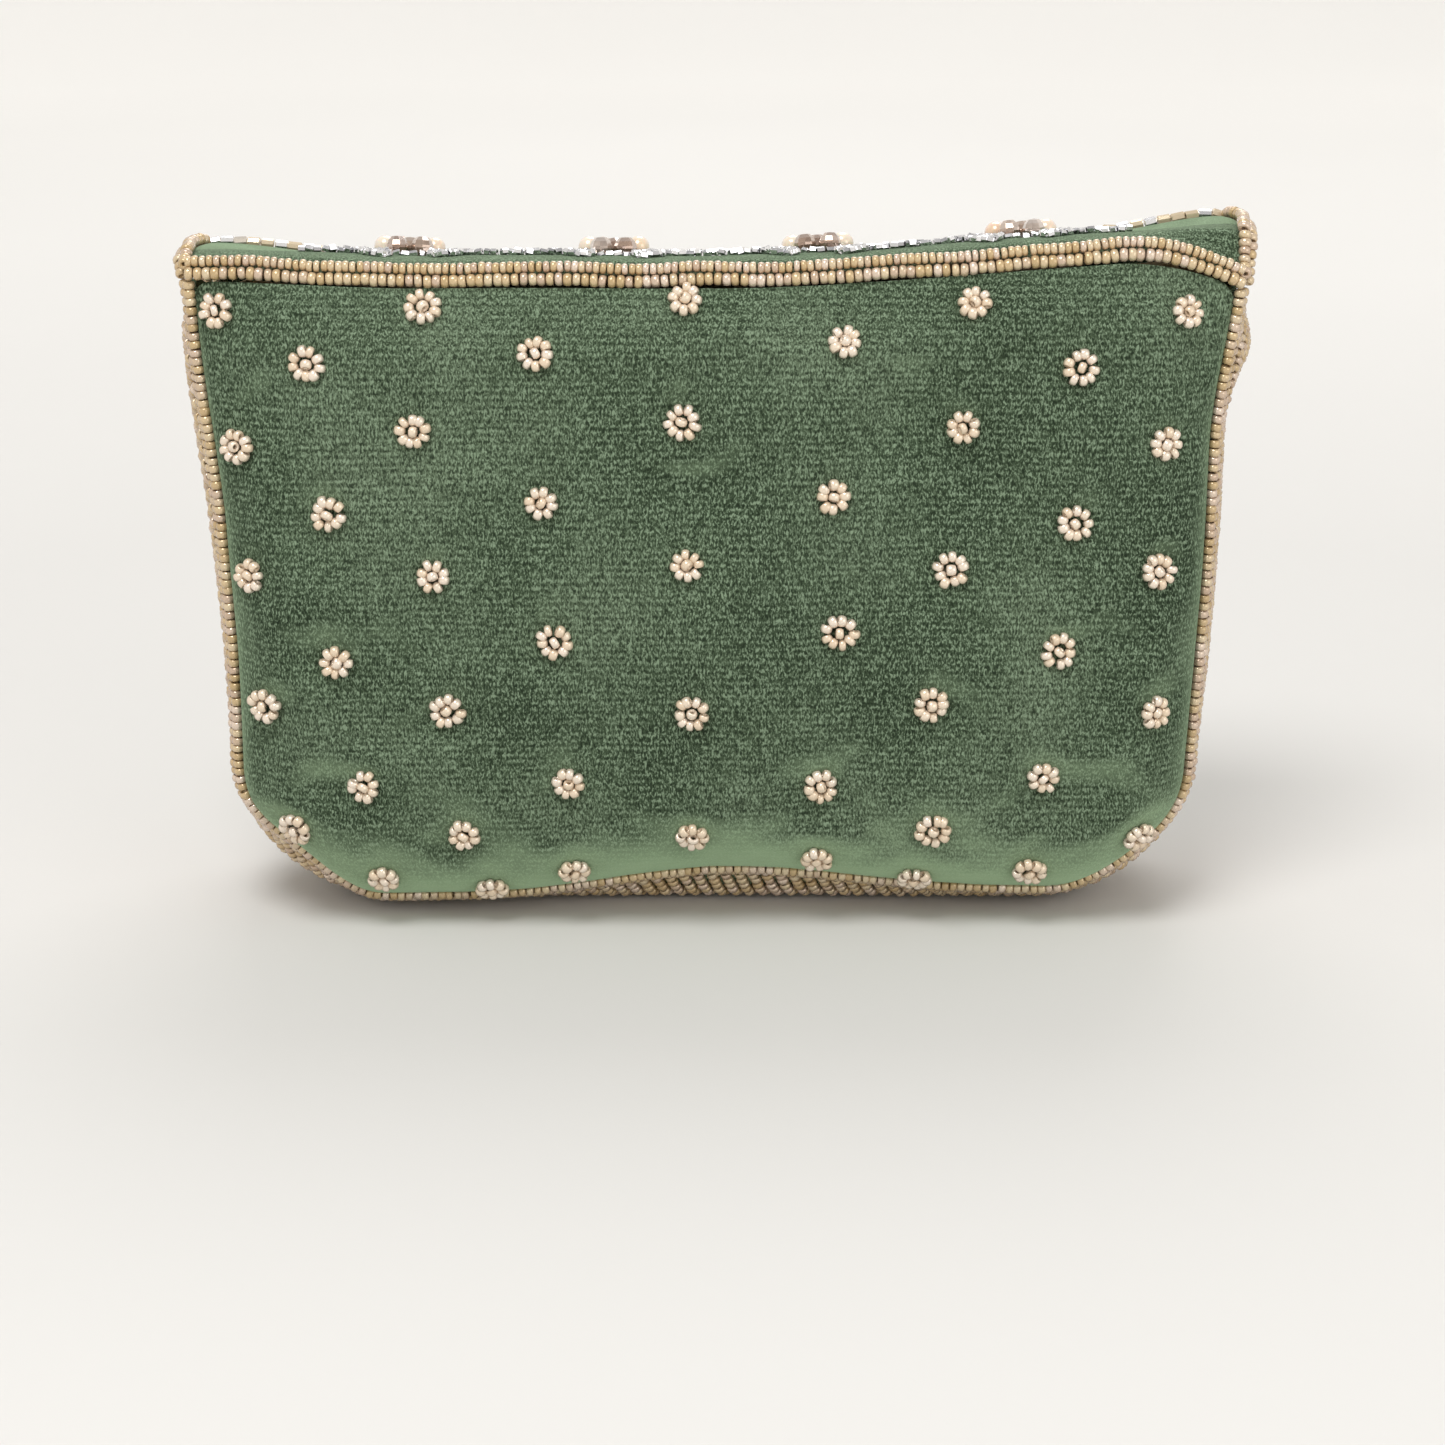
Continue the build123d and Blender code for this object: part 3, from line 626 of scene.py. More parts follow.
def make_panel(panel, prefix, velvet, foam, board):
    """Velvet skin, foam pad and stiffener of one panel. Returns the skin's face, to sew on."""
    step = SKIN_STEP

    def under_velvet(x, z):
        return np.maximum(panel.height(x, z) - VELVET, 0)

    def foam_top(x, z):
        return np.maximum(panel.height(x, z) - VELVET - 0.0002, BOARD + 0.0006)

    for name, node, slot, insets, spacing, top, under, material, fill in (
        ("_velvet_skin", "_velvet", "velvet", (0, VELVET), step, panel.height, under_velvet, velvet, 0.8),
        ("_foam_pad", "_foam", "foam", (0.0046,) * 2, 0.003, foam_top, level(BOARD + 0.0001), foam, 0.9),
        ("_stiffener", "_board", "board", (0.0032,) * 2, 0.004, level(BOARD), level(0.00005), board, None),
    ):
        outer = panel.layer(insets[0], spacing, top)[0]
        inner = panel.layer(insets[1], spacing, under)[0]
        piece = closed_sheet(prefix + name, outer, inner, material)
        finished(piece, "bag_body", slot, prefix + node, fill=fill)
    return Skin(*panel.layer(0, step, panel.height), panel.shape.half, np.array((0.0, panel.side, 0.0)))


def make_flowers(name, node, skin, places, seed, material):
    """Eight or nine beads round a tilted ninth or tenth, sewn down at each place."""
    beads = Beads(seed, radius=FLOWER_BEAD_R, length=FLOWER_BEAD_LENGTH, wobble=1.5)
    random = np.random.default_rng(seed)
    for x, z in places:
        middle, normal = skin.place(x, z)
        side = unit(np.cross(normal, (0.05, 0.0, 1.0)))
        up = np.cross(side, normal)
        count = int(random.integers(8, 10))
        turn = (np.arange(count) + random.normal(0, 0.07, count)) * 2 * math.pi / count
        turn = (turn + random.random() * 2 * math.pi)[:, None]
        ring = FLOWER_RING * count / 8.5 * (1 + random.normal(0, 0.05, (count, 1)))
        centres = middle + ring * (np.cos(turn) * side + np.sin(turn) * up) + normal * 0.00085
        beads.add(centres, np.cos(turn) * up - np.sin(turn) * side)
        tilt = random.random() * 2 * math.pi
        beads.add(middle + normal * 0.00125, math.cos(tilt) * side + math.sin(tilt) * up + 0.35 * normal)
    finished(beads.build(name, material), "bag_body", "seed_bead", node)


# ---- gusset -------------------------------------------------------------------------------------------
class Gusset:
    """The band between the two panels, from the left of the mouth round the foot to the right."""

    def __init__(self, step=0.0010):
        self.line = MOUTH.line(0, step)
        self.normal = unit(MOUTH.line(0.001, step) - self.line)
        self.lengths = run_of(self.line)

    def out(self, y, z, x):
        """How far the band stands out from the line of the seams."""
        bulge = 0.0031 * np.exp(-(((z - 0.0970) / 0.0052) ** 2)) * (x > 0)
        bulge = bulge + 0.0010 * np.exp(-(((z - 0.085) / 0.02) ** 2)) * (x < 0)
        bow = 0.0011 + 0.0011 * smooth((z - 0.020) / 0.03) + bulge
        return bow * (1 - np.abs(y / SEAM) ** 2.6)

    def place(self, s, y, lift):
        s, y = np.broadcast_arrays(np.asarray(s, float), np.asarray(y, float))
        flat = [np.interp(s, self.lengths, self.line[:, k]) for k in (0, 1)]
        normal = [np.interp(s, self.lengths, self.normal[:, k]) for k in (0, 1)]
        out = self.out(y, flat[1], flat[0]) + lift
        return drape(stacked(flat[0] + normal[0] * out, y, flat[1] + normal[1] * out), mouth=True)


def make_gusset(velvet, satin, seed_bead):
    gusset = Gusset()
    length = gusset.lengths[-1]
    s = np.linspace(0, length, round(length / 0.0018))[:, None]
    y = np.linspace(-1, 1, 25) * (SEAM - 0.0001)
    band = closed_sheet("gusset_velvet_band", gusset.place(s, y, 0), gusset.place(s, y, -0.0009), velvet)
    finished(band, "bag_body", "velvet", "gusset_velvet")
    y = np.linspace(-1, 1, 21) * (LINING - 0.0001)
    lift = 0.00018 * swell(s, y, 0.02, 31) - LINING_GAP
    faces = gusset.place(s, y, lift), gusset.place(s, y, lift - SATIN)
    lining = closed_sheet("lining_gusset_satin", *faces, satin)
    finished(lining, "bag_body", "satin", "lining_gusset")
    make_gusset_beads(gusset, length, seed_bead)


def make_gusset_beads(gusset, length, seed_bead):
    """Slanting rows of beads from edge to edge of the gusset, in three pieces."""
    pitch = 2.02 * BEAD_R / math.sin(ROW_SLANT)
    slope = 1 / math.tan(ROW_SLANT)
    low, high = BEADED_SHORT, length - BEADED_SHORT
    side = (length - 2 * (FOOT_HALF - CORNER) - CORNER * math.pi) / 2
    parts = {
        part: Beads(seed, profile=PLAIN_SEED, sides=9)
        for part, seed in (("left", 41), ("foot", 42), ("right", 43))
    }
    reach = BEADED_HALF * slope
    for start in np.arange(low - reach, high + reach, pitch):
        y = np.linspace(-BEADED_HALF, BEADED_HALF, 60)
        s = start + y * slope
        inside = (s > low) & (s < high)
        if inside.sum() < 6:
            continue
        line = gusset.place(s[inside], y[inside], BEAD_R)
        part = "left" if start < side else "right" if start > length - side else "foot"
        parts[part].string(line)
    for part, beads in parts.items():
        piece = beads.build("gusset_bead_rows_" + part, seed_bead)
        finished(piece, "bag_body", "seed_bead", "gusset_beads_" + part)


def edge_line(shape, side, y_out, out):
    """A line round a panel's sides and foot, y_out from the middle."""
    line = shape.line(out)
    return drape(stacked(line[:, 0], side * y_out, line[:, 1]), mouth=True)


def make_edge_strings(seed_bead):
    """Two strings round each panel: one at its rim and one beside it, on the gusset's edge."""
    for side, prefix, shape in ((-1, "back", BODY), (1, "front", MOUTH)):
        for place, y_out, out, seed in (
            ("rim", SEAM + 0.0004, 0.0007, 51), ("gusset", SEAM - BEAD_R, BEAD_R + 0.0003, 61)
        ):
            beads = Beads(seed + side)
            beads.string(edge_line(shape, side, y_out, out))
            piece = beads.build(f"{prefix}_{place}_string", seed_bead)
            finished(piece, "bag_body", "seed_bead", f"{prefix}_{place}_beads")


# ---- linings ------------------------------------------------------------------------------------------
def satin_patch(name, node, shape, y, side, satin, seed):
    """A sheet of satin in X and Z, loosely held at its rim."""
    rows, shares = shape.heights(0.003), columns(0.003, shape.wide)
    z = rows[:, None]
    x = shape.half(z) * shares
    soft = smooth(shape.rim(x, z)[0] / 0.012)
    near_top = smooth((z - shape.top + 0.008) / 0.008)
    face = y + 0.00016 * swell(x, z, 0.03, seed) * soft + 0.0006 * near_top
    inner = drape(stacked(x, side * (face - SATIN / 2), z), mouth=True)
    outer = drape(stacked(x, side * (face + SATIN / 2), z), mouth=True)
    patch = closed_sheet(name, inner, outer, satin)
    finished(patch, "bag_body", "satin", node)
    return patch


def make_linings(satin):
    inset = 0.0045
    shape = BODY.shrunk(inset)
    shape.top = MOUTH_TOP - 0.0008
    satin_patch("lining_back_satin", "lining_back", shape, LINING + 0.0004, -1, satin, 71)
    satin_patch("lining_front_satin", "lining_front", shape, LINING + 0.0004, 1, satin, 72)
    low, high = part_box("slip_pocket")
    pocket = Shield(high.z, low.z, high.x, high.x, 0.009)
    satin_patch("slip_pocket_satin", "slip_pocket", pocket, -low.y - 0.0004, -1, satin, 73)


# ---- flap ---------------------------------------------------------------------------------------------
profile = curve_through([(0, y, z) for y, z in FLAP_PROFILE], 0.0004)[:, 1:]
profile_at = run_of(profile)
FOLD_END = profile_at[-1]  # from here the flap hangs straight
FOLD_Z = profile[-1, 1]
FLAP_END = FOLD_END + FOLD_Z - FLAP.foot


def row_at_y(y):
    """Distance from the flap's rear edge, along its inner face, to y on the strip."""
    return np.interp(y, profile[:, 0], profile_at)


def row_at_z(z):
    """The same to height z on the flap's front."""
    return FOLD_END + FOLD_Z - np.asarray(z)


def inner_face(row):
    """y and z of the flap's inner face, and its normal's y and z."""
    below = np.maximum(row - FOLD_END, 0)
    y = np.interp(row, profile_at, profile[:, 0])
    z = np.interp(row, profile_at, profile[:, 1]) - below
    slope = np.gradient(profile, profile_at, axis=0)
    along = [np.interp(row, profile_at, slope[:, k]) for k in (0, 1)]
    size = np.hypot(*along)
    return y, z, -along[1] / size, along[0] / size


def flap_half(row):
    z = FOLD_Z - np.maximum(row - FOLD_END, 0)
    top = STRIP_HALF + (FLAP.side(FOLD_Z) - STRIP_HALF) * np.clip(row / FOLD_END, 0, 1)
    return np.where(row < FOLD_END, top, FLAP.half(z))


def fold_share(row):
    """0 on the strip and 1 on the front."""
    start = row_at_y(0.0150)
    return smooth((row - start) / (FOLD_END + 0.002 - start))


def flap_height(x, row):
    """Of the flap's velvet over its inner face."""
    share = fold_share(row)
    thick = STRIP_DEPTH + (FLAP_DEPTH - STRIP_DEPTH) * share
    z = FOLD_Z - np.maximum(row - FOLD_END, 0)
    distance = np.where(row < FOLD_END, flap_half(row) - np.abs(x), FLAP.rim(x, z)[0])
    edge = dome(distance / (0.0025 + 0.0028 * share))
    rear = 0.3 + 0.7 * dome(row / 0.0022)
    soft = smooth(distance / 0.012) * (0.00010 + 0.00022 * share)
    return SATIN + (thick - SATIN) * edge * rear + soft * swell(x, row, 0.030, 81)


def flap_layer(rows, shares, inset, raise_by):
    """Grid of points of a layer of the flap, inset from its rim, raise_by over its inner face."""
    reach = 1 - inset / (FLAP_END - FOLD_END)
    row = np.where(rows > FOLD_END, FOLD_END + (rows - FOLD_END) * reach, rows)[:, None]
    y, z, normal_y, normal_z = inner_face(row)
    front_half = (FLAP.shrunk(inset) if inset else FLAP).half(z)
    x = np.where(row < FOLD_END, flap_half(row) - inset, front_half) * shares
    high = raise_by(x, row)
    return drape(stacked(x, y + normal_y * high, z + normal_z * high))


def flap_rows(step):
    over = np.linspace(0, FOLD_END, round(FOLD_END / step), endpoint=False)
    z = FLAP.heights(step)
    return np.r_[over, row_at_z(z[z < FOLD_Z][::-1])]


def rear_blend(piece):
    """Bakes the piece's placement into its points."""
    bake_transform(piece)


def ridge_blend(piece):
    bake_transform(piece)


def flap_sheet(name, rows, step, inset, top, under, material):
    shares = columns(step, STRIP_HALF)
    outer = flap_layer(rows, shares, inset[0], top)
    inner = flap_layer(rows, shares, inset[1], under)
    return closed_sheet(name, outer, inner, material)


def make_flap(velvet_strip, velvet_front, foam, board, satin):
    step = SKIN_STEP
    rows = flap_rows(step)
    split = int(np.argmin(np.abs(rows - row_at_y(FLAP_SPLIT))))

    def velvet_under(x, row):
        return np.maximum(flap_height(x, row) - VELVET, SATIN)

    faces = (step, (0, VELVET), flap_height, velvet_under)
    rear = flap_sheet("flap_rear_velvet", rows[: split + 1], *faces, velvet_strip)
    rear_blend(rear)
    finished(rear, None, "velvet", "flap_top_velvet")
    front = flap_sheet("flap_front_velvet_skin", rows[split:], *faces, velvet_front)
    ridge_blend(front)
    finished(front, None, "velvet", "flap_fold_velvet", "flap_front_velvet", fill=0.7)
    make_flap_fillings(rows, foam, board)
    make_flap_linings(rows, split, satin)
    shares = columns(step, STRIP_HALF)
    outer = flap_layer(rows, shares, 0, flap_height)
    return Skin(outer, rows, shares, flap_half, np.array((0.0, 1.0, 0.2)))


def make_flap_fillings(rows, foam, board):
    """Interlining of the strip, and foam pad and stiffener of the hanging front."""
    board_face = SATIN + BOARD
    strip = rows[(rows > row_at_y(-0.0115)) & (rows < row_at_y(0.0175))][::2]
    hanging = rows[rows > row_at_z(0.1000)][::2]

    def under_velvet(x, row):
        return np.maximum(flap_height(x, row) - VELVET - 0.0001, SATIN + 0.0004)

    def foam_top(x, row):
        return np.maximum(under_velvet(x, row), board_face + 0.0005)

    for name, part, step, inset, top, under, material, fill, body, slot, node in (
        ("flap_strip_interlining", strip, 0.003, 0.0018, under_velvet, SATIN + 0.0001, foam, 0.5,
         "flap_top", "foam", "flap_top_interlining"),
        ("flap_front_foam_pad", hanging, 0.003, 0.0040, foam_top, board_face + 0.0002, foam, 0.8,
         "flap_front", "foam", "flap_front_foam"),
        ("flap_front_stiffener", hanging, 0.004, 0.0026, level(board_face), SATIN + 0.0001, board, None,
         "flap_front", "board", "flap_front_board"),
    ):
        piece = flap_sheet(name, part, step, (inset, inset), top, level(under), material)
        finished(piece, body, slot, node, fill=fill)


def make_flap_linings(rows, split, satin):
    for name, part, blend, node, length in (
        ("flap_rear_satin", rows[1 : split + 1], rear_blend, "flap_top_lining", rows[split]),
        ("flap_front_satin", rows[split:], ridge_blend, "flap_front_lining", FLAP_END - rows[split]),
    ):
        piece = flap_sheet(name, part, 0.003, (0.0014, 0.0014), level(0.0), level(SATIN - 0.00002), satin)
        blend(piece)
        finished(piece, None, "satin", node)


# ---- flap: bead strings -------------------------------------------------------------------------------
def rim_string(row, outer):
    """How far out of the flap's outline, and over its inner face, an edge string runs."""
    share = fold_share(row)
    if outer:
        return BEAD_R, 0.0011 + 0.0002 * share
    return -0.0002 + 0.0006 * share, 0.0029 + 0.0005 * share


def strip_edge(start, end, outer):
    """The line down the strip's left side and, if end asks for it, over the ridge."""
    row = np.arange(start, end, 0.0005)
    y, z, normal_y, normal_z = inner_face(row)
    out, high = rim_string(row, outer)
    return stacked(-(flap_half(row) + out), y + normal_y * high, z + normal_z * high)


def flap_edge(outer):
    """The line from the left of the strip over the ridge, round the flap's foot and back."""
    over = strip_edge(row_at_y(0.0145), FOLD_END, outer)
    out, high = rim_string(FLAP_END, outer)
    line = FLAP.line(float(out))
    line = line[(line[:, 1] < FOLD_Z)]
    hanging = stacked(line[:, 0], FLAP_INNER + high, line[:, 1])
    return np.vstack([over, hanging, (over * (-1, 1, 1))[::-1]])


def corner_start(outer):
    """Where a side string of the strip leaves the top of the body's strings, on the left."""
    if outer:
        return (-(BODY.side(BODY_TOP) + 0.0020), -SEAM + BEAD_R, BODY_TOP + 0.0005)
    return (-(BODY.side(BODY_TOP) + 0.0012), -SEAM - 0.0010, BODY_TOP + 0.0028)


def make_flap_strings(seed_bead, ridge_bead, skin):
    for name, node, outer, seed in (
        ("flap_edge_string_outer", "flap_edge_beads_outer", True, 91),
        ("flap_edge_string_inner", "flap_edge_beads_inner", False, 92),
    ):
        beads = Beads(seed)
        beads.string(drape(flap_edge(outer)))
        piece = beads.build(name, seed_bead)
        ridge_blend(piece)
        finished(piece, None, "seed_bead", node)
    sides = Beads(93)
    for outer in (True, False):
        line = strip_edge(row_at_y(-0.0130), row_at_y(0.0140), outer)
        line = np.vstack([curve_through([corner_start(outer), line[0], line[2]], 0.0005)[:-3], line])
        for mirror in (1, -1):
            sides.string(drape(line * (mirror, 1, 1)))
    finished(sides.build("flap_side_strings", seed_bead), "flap_top", "seed_bead", "flap_top_side_beads")
    ridge = Beads(94, radius=0.0009, length=0.0024, profile=CUT, sides=8)
    x = np.linspace(-STRIP_HALF + 0.0015, STRIP_HALF - 0.0015, 300)
    lower = 0.0024 * smooth((x + 0.068) / 0.015) * smooth((0.040 - x) / 0.015)
    ridge.string(skin.place(x, row_at_y(0.0196) + lower, 0.0008)[0], step=0.0025)
    piece = ridge.build("flap_ridge_string", ridge_bead, shade_smooth=False)
    finished(piece, "flap_top", "cut_bead", "flap_ridge_beads")


def make_hinge_strings(seed_bead):
    """Two strings along the back seam: larger beads below, smaller and closer ones above."""
    x = np.linspace(hinge_low.x, hinge_high.x, 500)
    wave = 0.00022 * swell(x, 0 * x, 0.022, 97)
    for which, y, z, radius, step, seed in (
        ("lower", hinge_low.y + BEAD_R, hinge_low.z + BEAD_R, 0.00114, 0.00150, 95),
        ("upper", -0.0173, 0.1162, 0.00102, 0.00122, 96),
    ):
        beads = Beads(seed, radius=radius, length=step)
        beads.string(drape(stacked(x, y, z + wave)), step)
        piece = beads.build("hinge_string_" + which, seed_bead)
        finished(piece, "bag_body", "seed_bead", "hinge_beads_" + which)


# ---- flap: embroidery ---------------------------------------------------------------------------------
LEAF_LENGTH, LEAF_WIDTH, LEAF_SLANT = 0.009, 0.0044, 70
VINE_BOW = 0.004
SILVER_STEP = 0.00135
ROSE_CLEAR = ROSE_RING + STONE_R + 0.0006


def arc(start, middle, end, count=60):
    """A flat line through three points, near enough a round arc."""
    t = np.linspace(0, 1, count)[:, None]
    return start * (1 - t) * (1 - 2 * t) + 4 * middle * t * (1 - t) + end * t * (2 * t - 1)


def vine_lines(start, end):
    """A bowed vine and the outlines of the two leaves at its middle."""
    start, end = np.array(start), np.array(end)
    span = end - start
    length = np.hypot(*span)
    bow = math.copysign(VINE_BOW, span[0])
    middle = (start + end) / 2
    lines = [arc(start, middle + bow * np.array((span[1], -span[0])) / length, end)]
    for sign in (-1, 1):
        turn = math.atan2(span[1], span[0]) + sign * math.radians(LEAF_SLANT)
        along = np.array((math.cos(turn), math.sin(turn)))
        across = np.array((-along[1], along[0]))
        bowed = VINE_BOW if sign * span[0] < 0 else -VINE_BOW
        spot = middle + along * (LEAF_LENGTH / 2 + 0.001 + bowed)
        tips = spot - along * LEAF_LENGTH / 2, spot + along * LEAF_LENGTH / 2
        for bulge in (-1, -0.4, 0.4, 1):
            lines.append(arc(tips[0], spot + bulge * across * LEAF_WIDTH / 2, tips[1]))
    return lines


class Embroidery:
    """Roses, vines and leaves on one part of the flap. place(a, b, lift) makes points of flat places."""

    def __init__(self, place, roses, vines, keep, seed):
        self.place, self.roses, self.vines, self.keep = place, np.array(roses), vines, keep
        self.seed = seed

    def stones(self, beads, turns, middle, lift):
        spots = [self.roses] if middle else []
        spots += [
            self.roses + ROSE_RING * np.array((math.cos(a), math.sin(a))) for a in map(math.radians, turns)
        ]
        spots = np.vstack(spots)
        beads.add(*self.place(spots[:, 0], spots[:, 1], lift))

    def silver(self, beads, lift):
        """Beads along every vine and leaf that keep clear of the roses, and a ring round each rose."""
        for start, end in self.vines:
            for line in vine_lines(start, end):
                spots, ahead = walk(np.c_[line, np.zeros(len(line))], SILVER_STEP)
                spots, ahead = spots[:, :2], ahead[:, :2]
                away = np.linalg.norm(spots[:, None] - self.roses[None], axis=2).min(axis=1)
                use = (away > ROSE_CLEAR + 0.0008) & self.keep(*spots.T)
                self.sew(beads, spots[use], ahead[use], lift)
        turn = np.arange(0, 360, 12) * math.pi / 180
        ring = np.stack([np.cos(turn), np.sin(turn)], axis=1)
        for rose in self.roses:
            spots = rose + ring * ROSE_CLEAR
            use = self.keep(*spots.T)
            self.sew(beads, spots[use], (ring[:, ::-1] * (-1, 1))[use], lift)

    def sew(self, beads, spots, ahead, lift):
        if len(spots):
            here = self.place(spots[:, 0], spots[:, 1], lift)[0]
            tip = self.place(*(spots + ahead * 0.0004).T, lift)[0]
            beads.add(here, tip - here)


def strip_embroidery(skin):
    roses = [(step * ROSE_STEP, STRIP_ROSE_Y) for step in STRIP_ROSES]
    vines = [((x, y), (x + sign * ROSE_STEP * 0.55, y - 0.017)) for x, y in roses for sign in (-1, 1)]

    def keep(x, y):
        return (y > -0.0125) & (y < 0.0178) & (np.abs(x) < STRIP_HALF - 0.004)

    return Embroidery(lambda x, y, lift: skin.place(x, row_at_y(y), lift), roses, vines, keep, 101)


def front_embroidery(skin):
    roses = [(step * ROSE_STEP, z) for z, steps in FRONT_ROSES for step in steps]
    vines = []
    for (high, high_steps), (low, low_steps) in zip(FRONT_ROSES, FRONT_ROSES[1:]):
        for step in high_steps:
            vines += [
                ((step * ROSE_STEP, high), (other * ROSE_STEP, low))
                for other in low_steps
                if abs(abs(step - other) - 0.5) < 0.01
            ]

    def keep(x, z):
        return (FLAP.rim(x, z)[0] > 0.0045) & (z < FOLD_Z + 0.006)

    return Embroidery(lambda x, z, lift: skin.place(x, row_at_z(z), lift), roses, vines, keep, 201)


def make_embroidery(work, prefix, body, pearl, crystal, silver):
    beads = Beads(work.seed, radius=STONE_R, length=2 * STONE_R, profile=PEARL, sides=16, wobble=0.6)
    work.stones(beads, ROSE_PEARLS, False, STONE_R * 0.93)
    finished(beads.build(prefix + "_pearl_stones", pearl), body, "pearl", prefix + "_pearls")
    beads = Beads(work.seed + 1, radius=STONE_R, length=2 * STONE_R, profile=CRYSTAL, sides=9, wobble=0.6)
    work.stones(beads, ROSE_CRYSTALS, True, STONE_R * 0.95)
    piece = beads.build(prefix + "_crystal_stones", crystal, shade_smooth=False)
    finished(piece, body, "crystal", prefix + "_crystals")
    beads = Beads(work.seed + 2, radius=0.00062, length=0.0013, profile=CUT, sides=6, wobble=2.0)
    work.silver(beads, 0.00055)
    piece = beads.build(prefix + "_silver_beads", silver, shade_smooth=False)
    finished(piece, body, "cut_bead", prefix + "_silverwork")


# ---- materials ----------------------------------------------------------------------------------------
def tone(red, green, blue):
    """A colour as it looks on a screen, 0 to 255, as Blender wants it."""
    share = np.array((red, green, blue)) / 255
    linear = np.where(share <= 0.04045, share / 12.92, ((share + 0.055) / 1.055) ** 2.4)
    return (*linear.tolist(), 1.0)


class Look:
    """A material, built node by node. Values may be numbers, colours or another node's socket."""

    def __init__(self, name, **values):
        self.material = bpy.data.materials.new(name)
        self.material.use_nodes = True
        self.tree = self.material.node_tree
        self.shader = self.tree.nodes["Principled BSDF"]
        self.coordinates = self.tree.nodes.new("ShaderNodeTexCoord").outputs["Object"]
        self.surface(**values)

    def feed(self, node, values):
        for name, value in values.items():
            if isinstance(value, bpy.types.NodeSocket):
                self.tree.links.new(value, node.inputs[name])
            else:
                node.inputs[name].default_value = value

    def surface(self, **values):
        self.feed(self.shader, {name.replace("_", " "): value for name, value in values.items()})

    def node(self, kind, values=None, **settings):
        made = self.tree.nodes.new("ShaderNode" + kind)
        for name, value in settings.items():
            setattr(made, name, value)
        self.feed(made, values or {})
        return made

    def sum(self, operation, a, b):
        return self.node("Math", {0: a, 1: b}, operation=operation).outputs[0]

    def noise(self, scale, detail=2.0, roughness=0.5, vector=None, distortion=0.0):
        values = {"Vector": vector or self.coordinates, "Scale": scale, "Detail": detail}
        values |= {"Roughness": roughness, "Distortion": distortion}
        return self.node("TexNoise", values).outputs["Fac"]

    def stretch(self, x, y, z):
        values = {"Vector": self.coordinates, "Scale": (x, y, z)}
        return self.node("Mapping", values).outputs["Vector"]

    def span(self, value, low, high, out_low=0.0, out_high=1.0):
        values = {"Value": value, "From Min": low, "From Max": high, "To Min": out_low, "To Max": out_high}
        return self.node("MapRange", values).outputs["Result"]

    def ramp(self, value, *stops):
        made = self.node("ValToRGB", {"Fac": value})
        elements = made.color_ramp.elements
        for (place, colour), element in zip(stops, [elements[0], elements[1]]):
            element.position, element.color = place, colour
        for place, colour in stops[2:]:
            elements.new(place).color = colour
        return made.outputs["Color"]

    def mix(self, share, a, b):
        return self.node("Mix", {0: share, 6: a, 7: b}, data_type="RGBA").outputs[2]

    def facing(self, blend):
        return self.node("LayerWeight", {"Blend": blend}).outputs["Facing"]

    def island(self):
        return self.node("NewGeometry").outputs["Random Per Island"]

    def bump(self, height, strength, distance):
        values = {"Height": height, "Strength": strength, "Distance": distance}
        self.surface(Normal=self.node("Bump", values).outputs["Normal"])


def velvet_look(name, along, painted_glow):
    """Short-pile knitted velvet: rows of loops 1.2 mm apart across the along direction, brushed patches.
    The glow argument sets how much painted light it gets. Painted sheen makes it paler where it turns
    away, and painted light from below makes it palest where it turns under."""
    look = Look(name, Roughness=0.9, Specular_IOR_Level=0.08)
    rows = look.node(
        "TexWave",
        {
            "Vector": look.coordinates,
            "Scale": 262.0,
            "Distortion": 2.2,
            "Detail": 2.0,
            "Detail Scale": 5.0,
        },
        bands_direction=along,
    ).outputs["Fac"]
    stroke = {"Z": (1.0, 1.0, 0.5), "Y": (1.0, 0.5, 1.0)}[along]
    strokes = look.noise(3300.0, 1.0, 0.5, look.stretch(*stroke), 0.5)
    grain = look.sum("ADD", strokes, look.span(rows, 0, 1, -0.042, 0.042))
    brushed = look.span(look.noise(120.0, 2.0, 0.5), 0, 1, -0.05, 0.05)
    patches = look.sum("ADD", look.noise(32.0, 1.0, 0.5), brushed)
    pile = look.ramp(
        patches, (0.30, tone(57, 71, 53)), (0.72, tone(90, 105, 84)), (0.50, tone(72, 87, 67))
    )
    colour = look.mix(look.span(grain, 0.32, 0.50, 0.80, 0.0), pile, tone(26, 36, 25))
    colour = look.mix(look.span(grain, 0.50, 0.70, 0.0, 0.70), colour, tone(142, 163, 137))
    normal = look.node("NewGeometry").outputs["Normal"]
    upwards = look.node("SeparateXYZ", {0: normal}).outputs["Z"]
    # painted light from below: paler where the normal points down, most of all where the velvet turns
    # under
    under = look.span(upwards, -0.80, -0.06, painted_glow, 0.0)
    # painted sheen: paler where the velvet turns away from view
    painted_sheen = look.span(look.facing(0.42), 0.30, 0.80, 0.0, 0.4 * painted_glow)
    # mixes in the pale green of that painted light from below and painted sheen
    colour = look.mix(look.sum("MAXIMUM", under, painted_sheen), colour, tone(160, 186, 150))
    look.surface(
        Base_Color=colour, Sheen_Weight=0.25, Sheen_Roughness=0.4, Sheen_Tint=tone(178, 200, 172)
    )
    look.bump(grain, 0.45, 0.0004)
    return look.material


# bead shades, as (place in the ramp, colour): the first two are the ramp's ends
STRING_SHADES = (
    (0.0, tone(188, 162, 118)), (1.0, tone(224, 206, 188)), (0.3, tone(204, 180, 140)),
    (0.6, tone(214, 196, 164)), (0.8, tone(196, 172, 148))
)
FLOWER_SHADES = (
    (0.0, tone(222, 202, 176)), (1.0, tone(238, 224, 208)), (0.3, tone(230, 212, 188)),
    (0.7, tone(232, 218, 200))
)


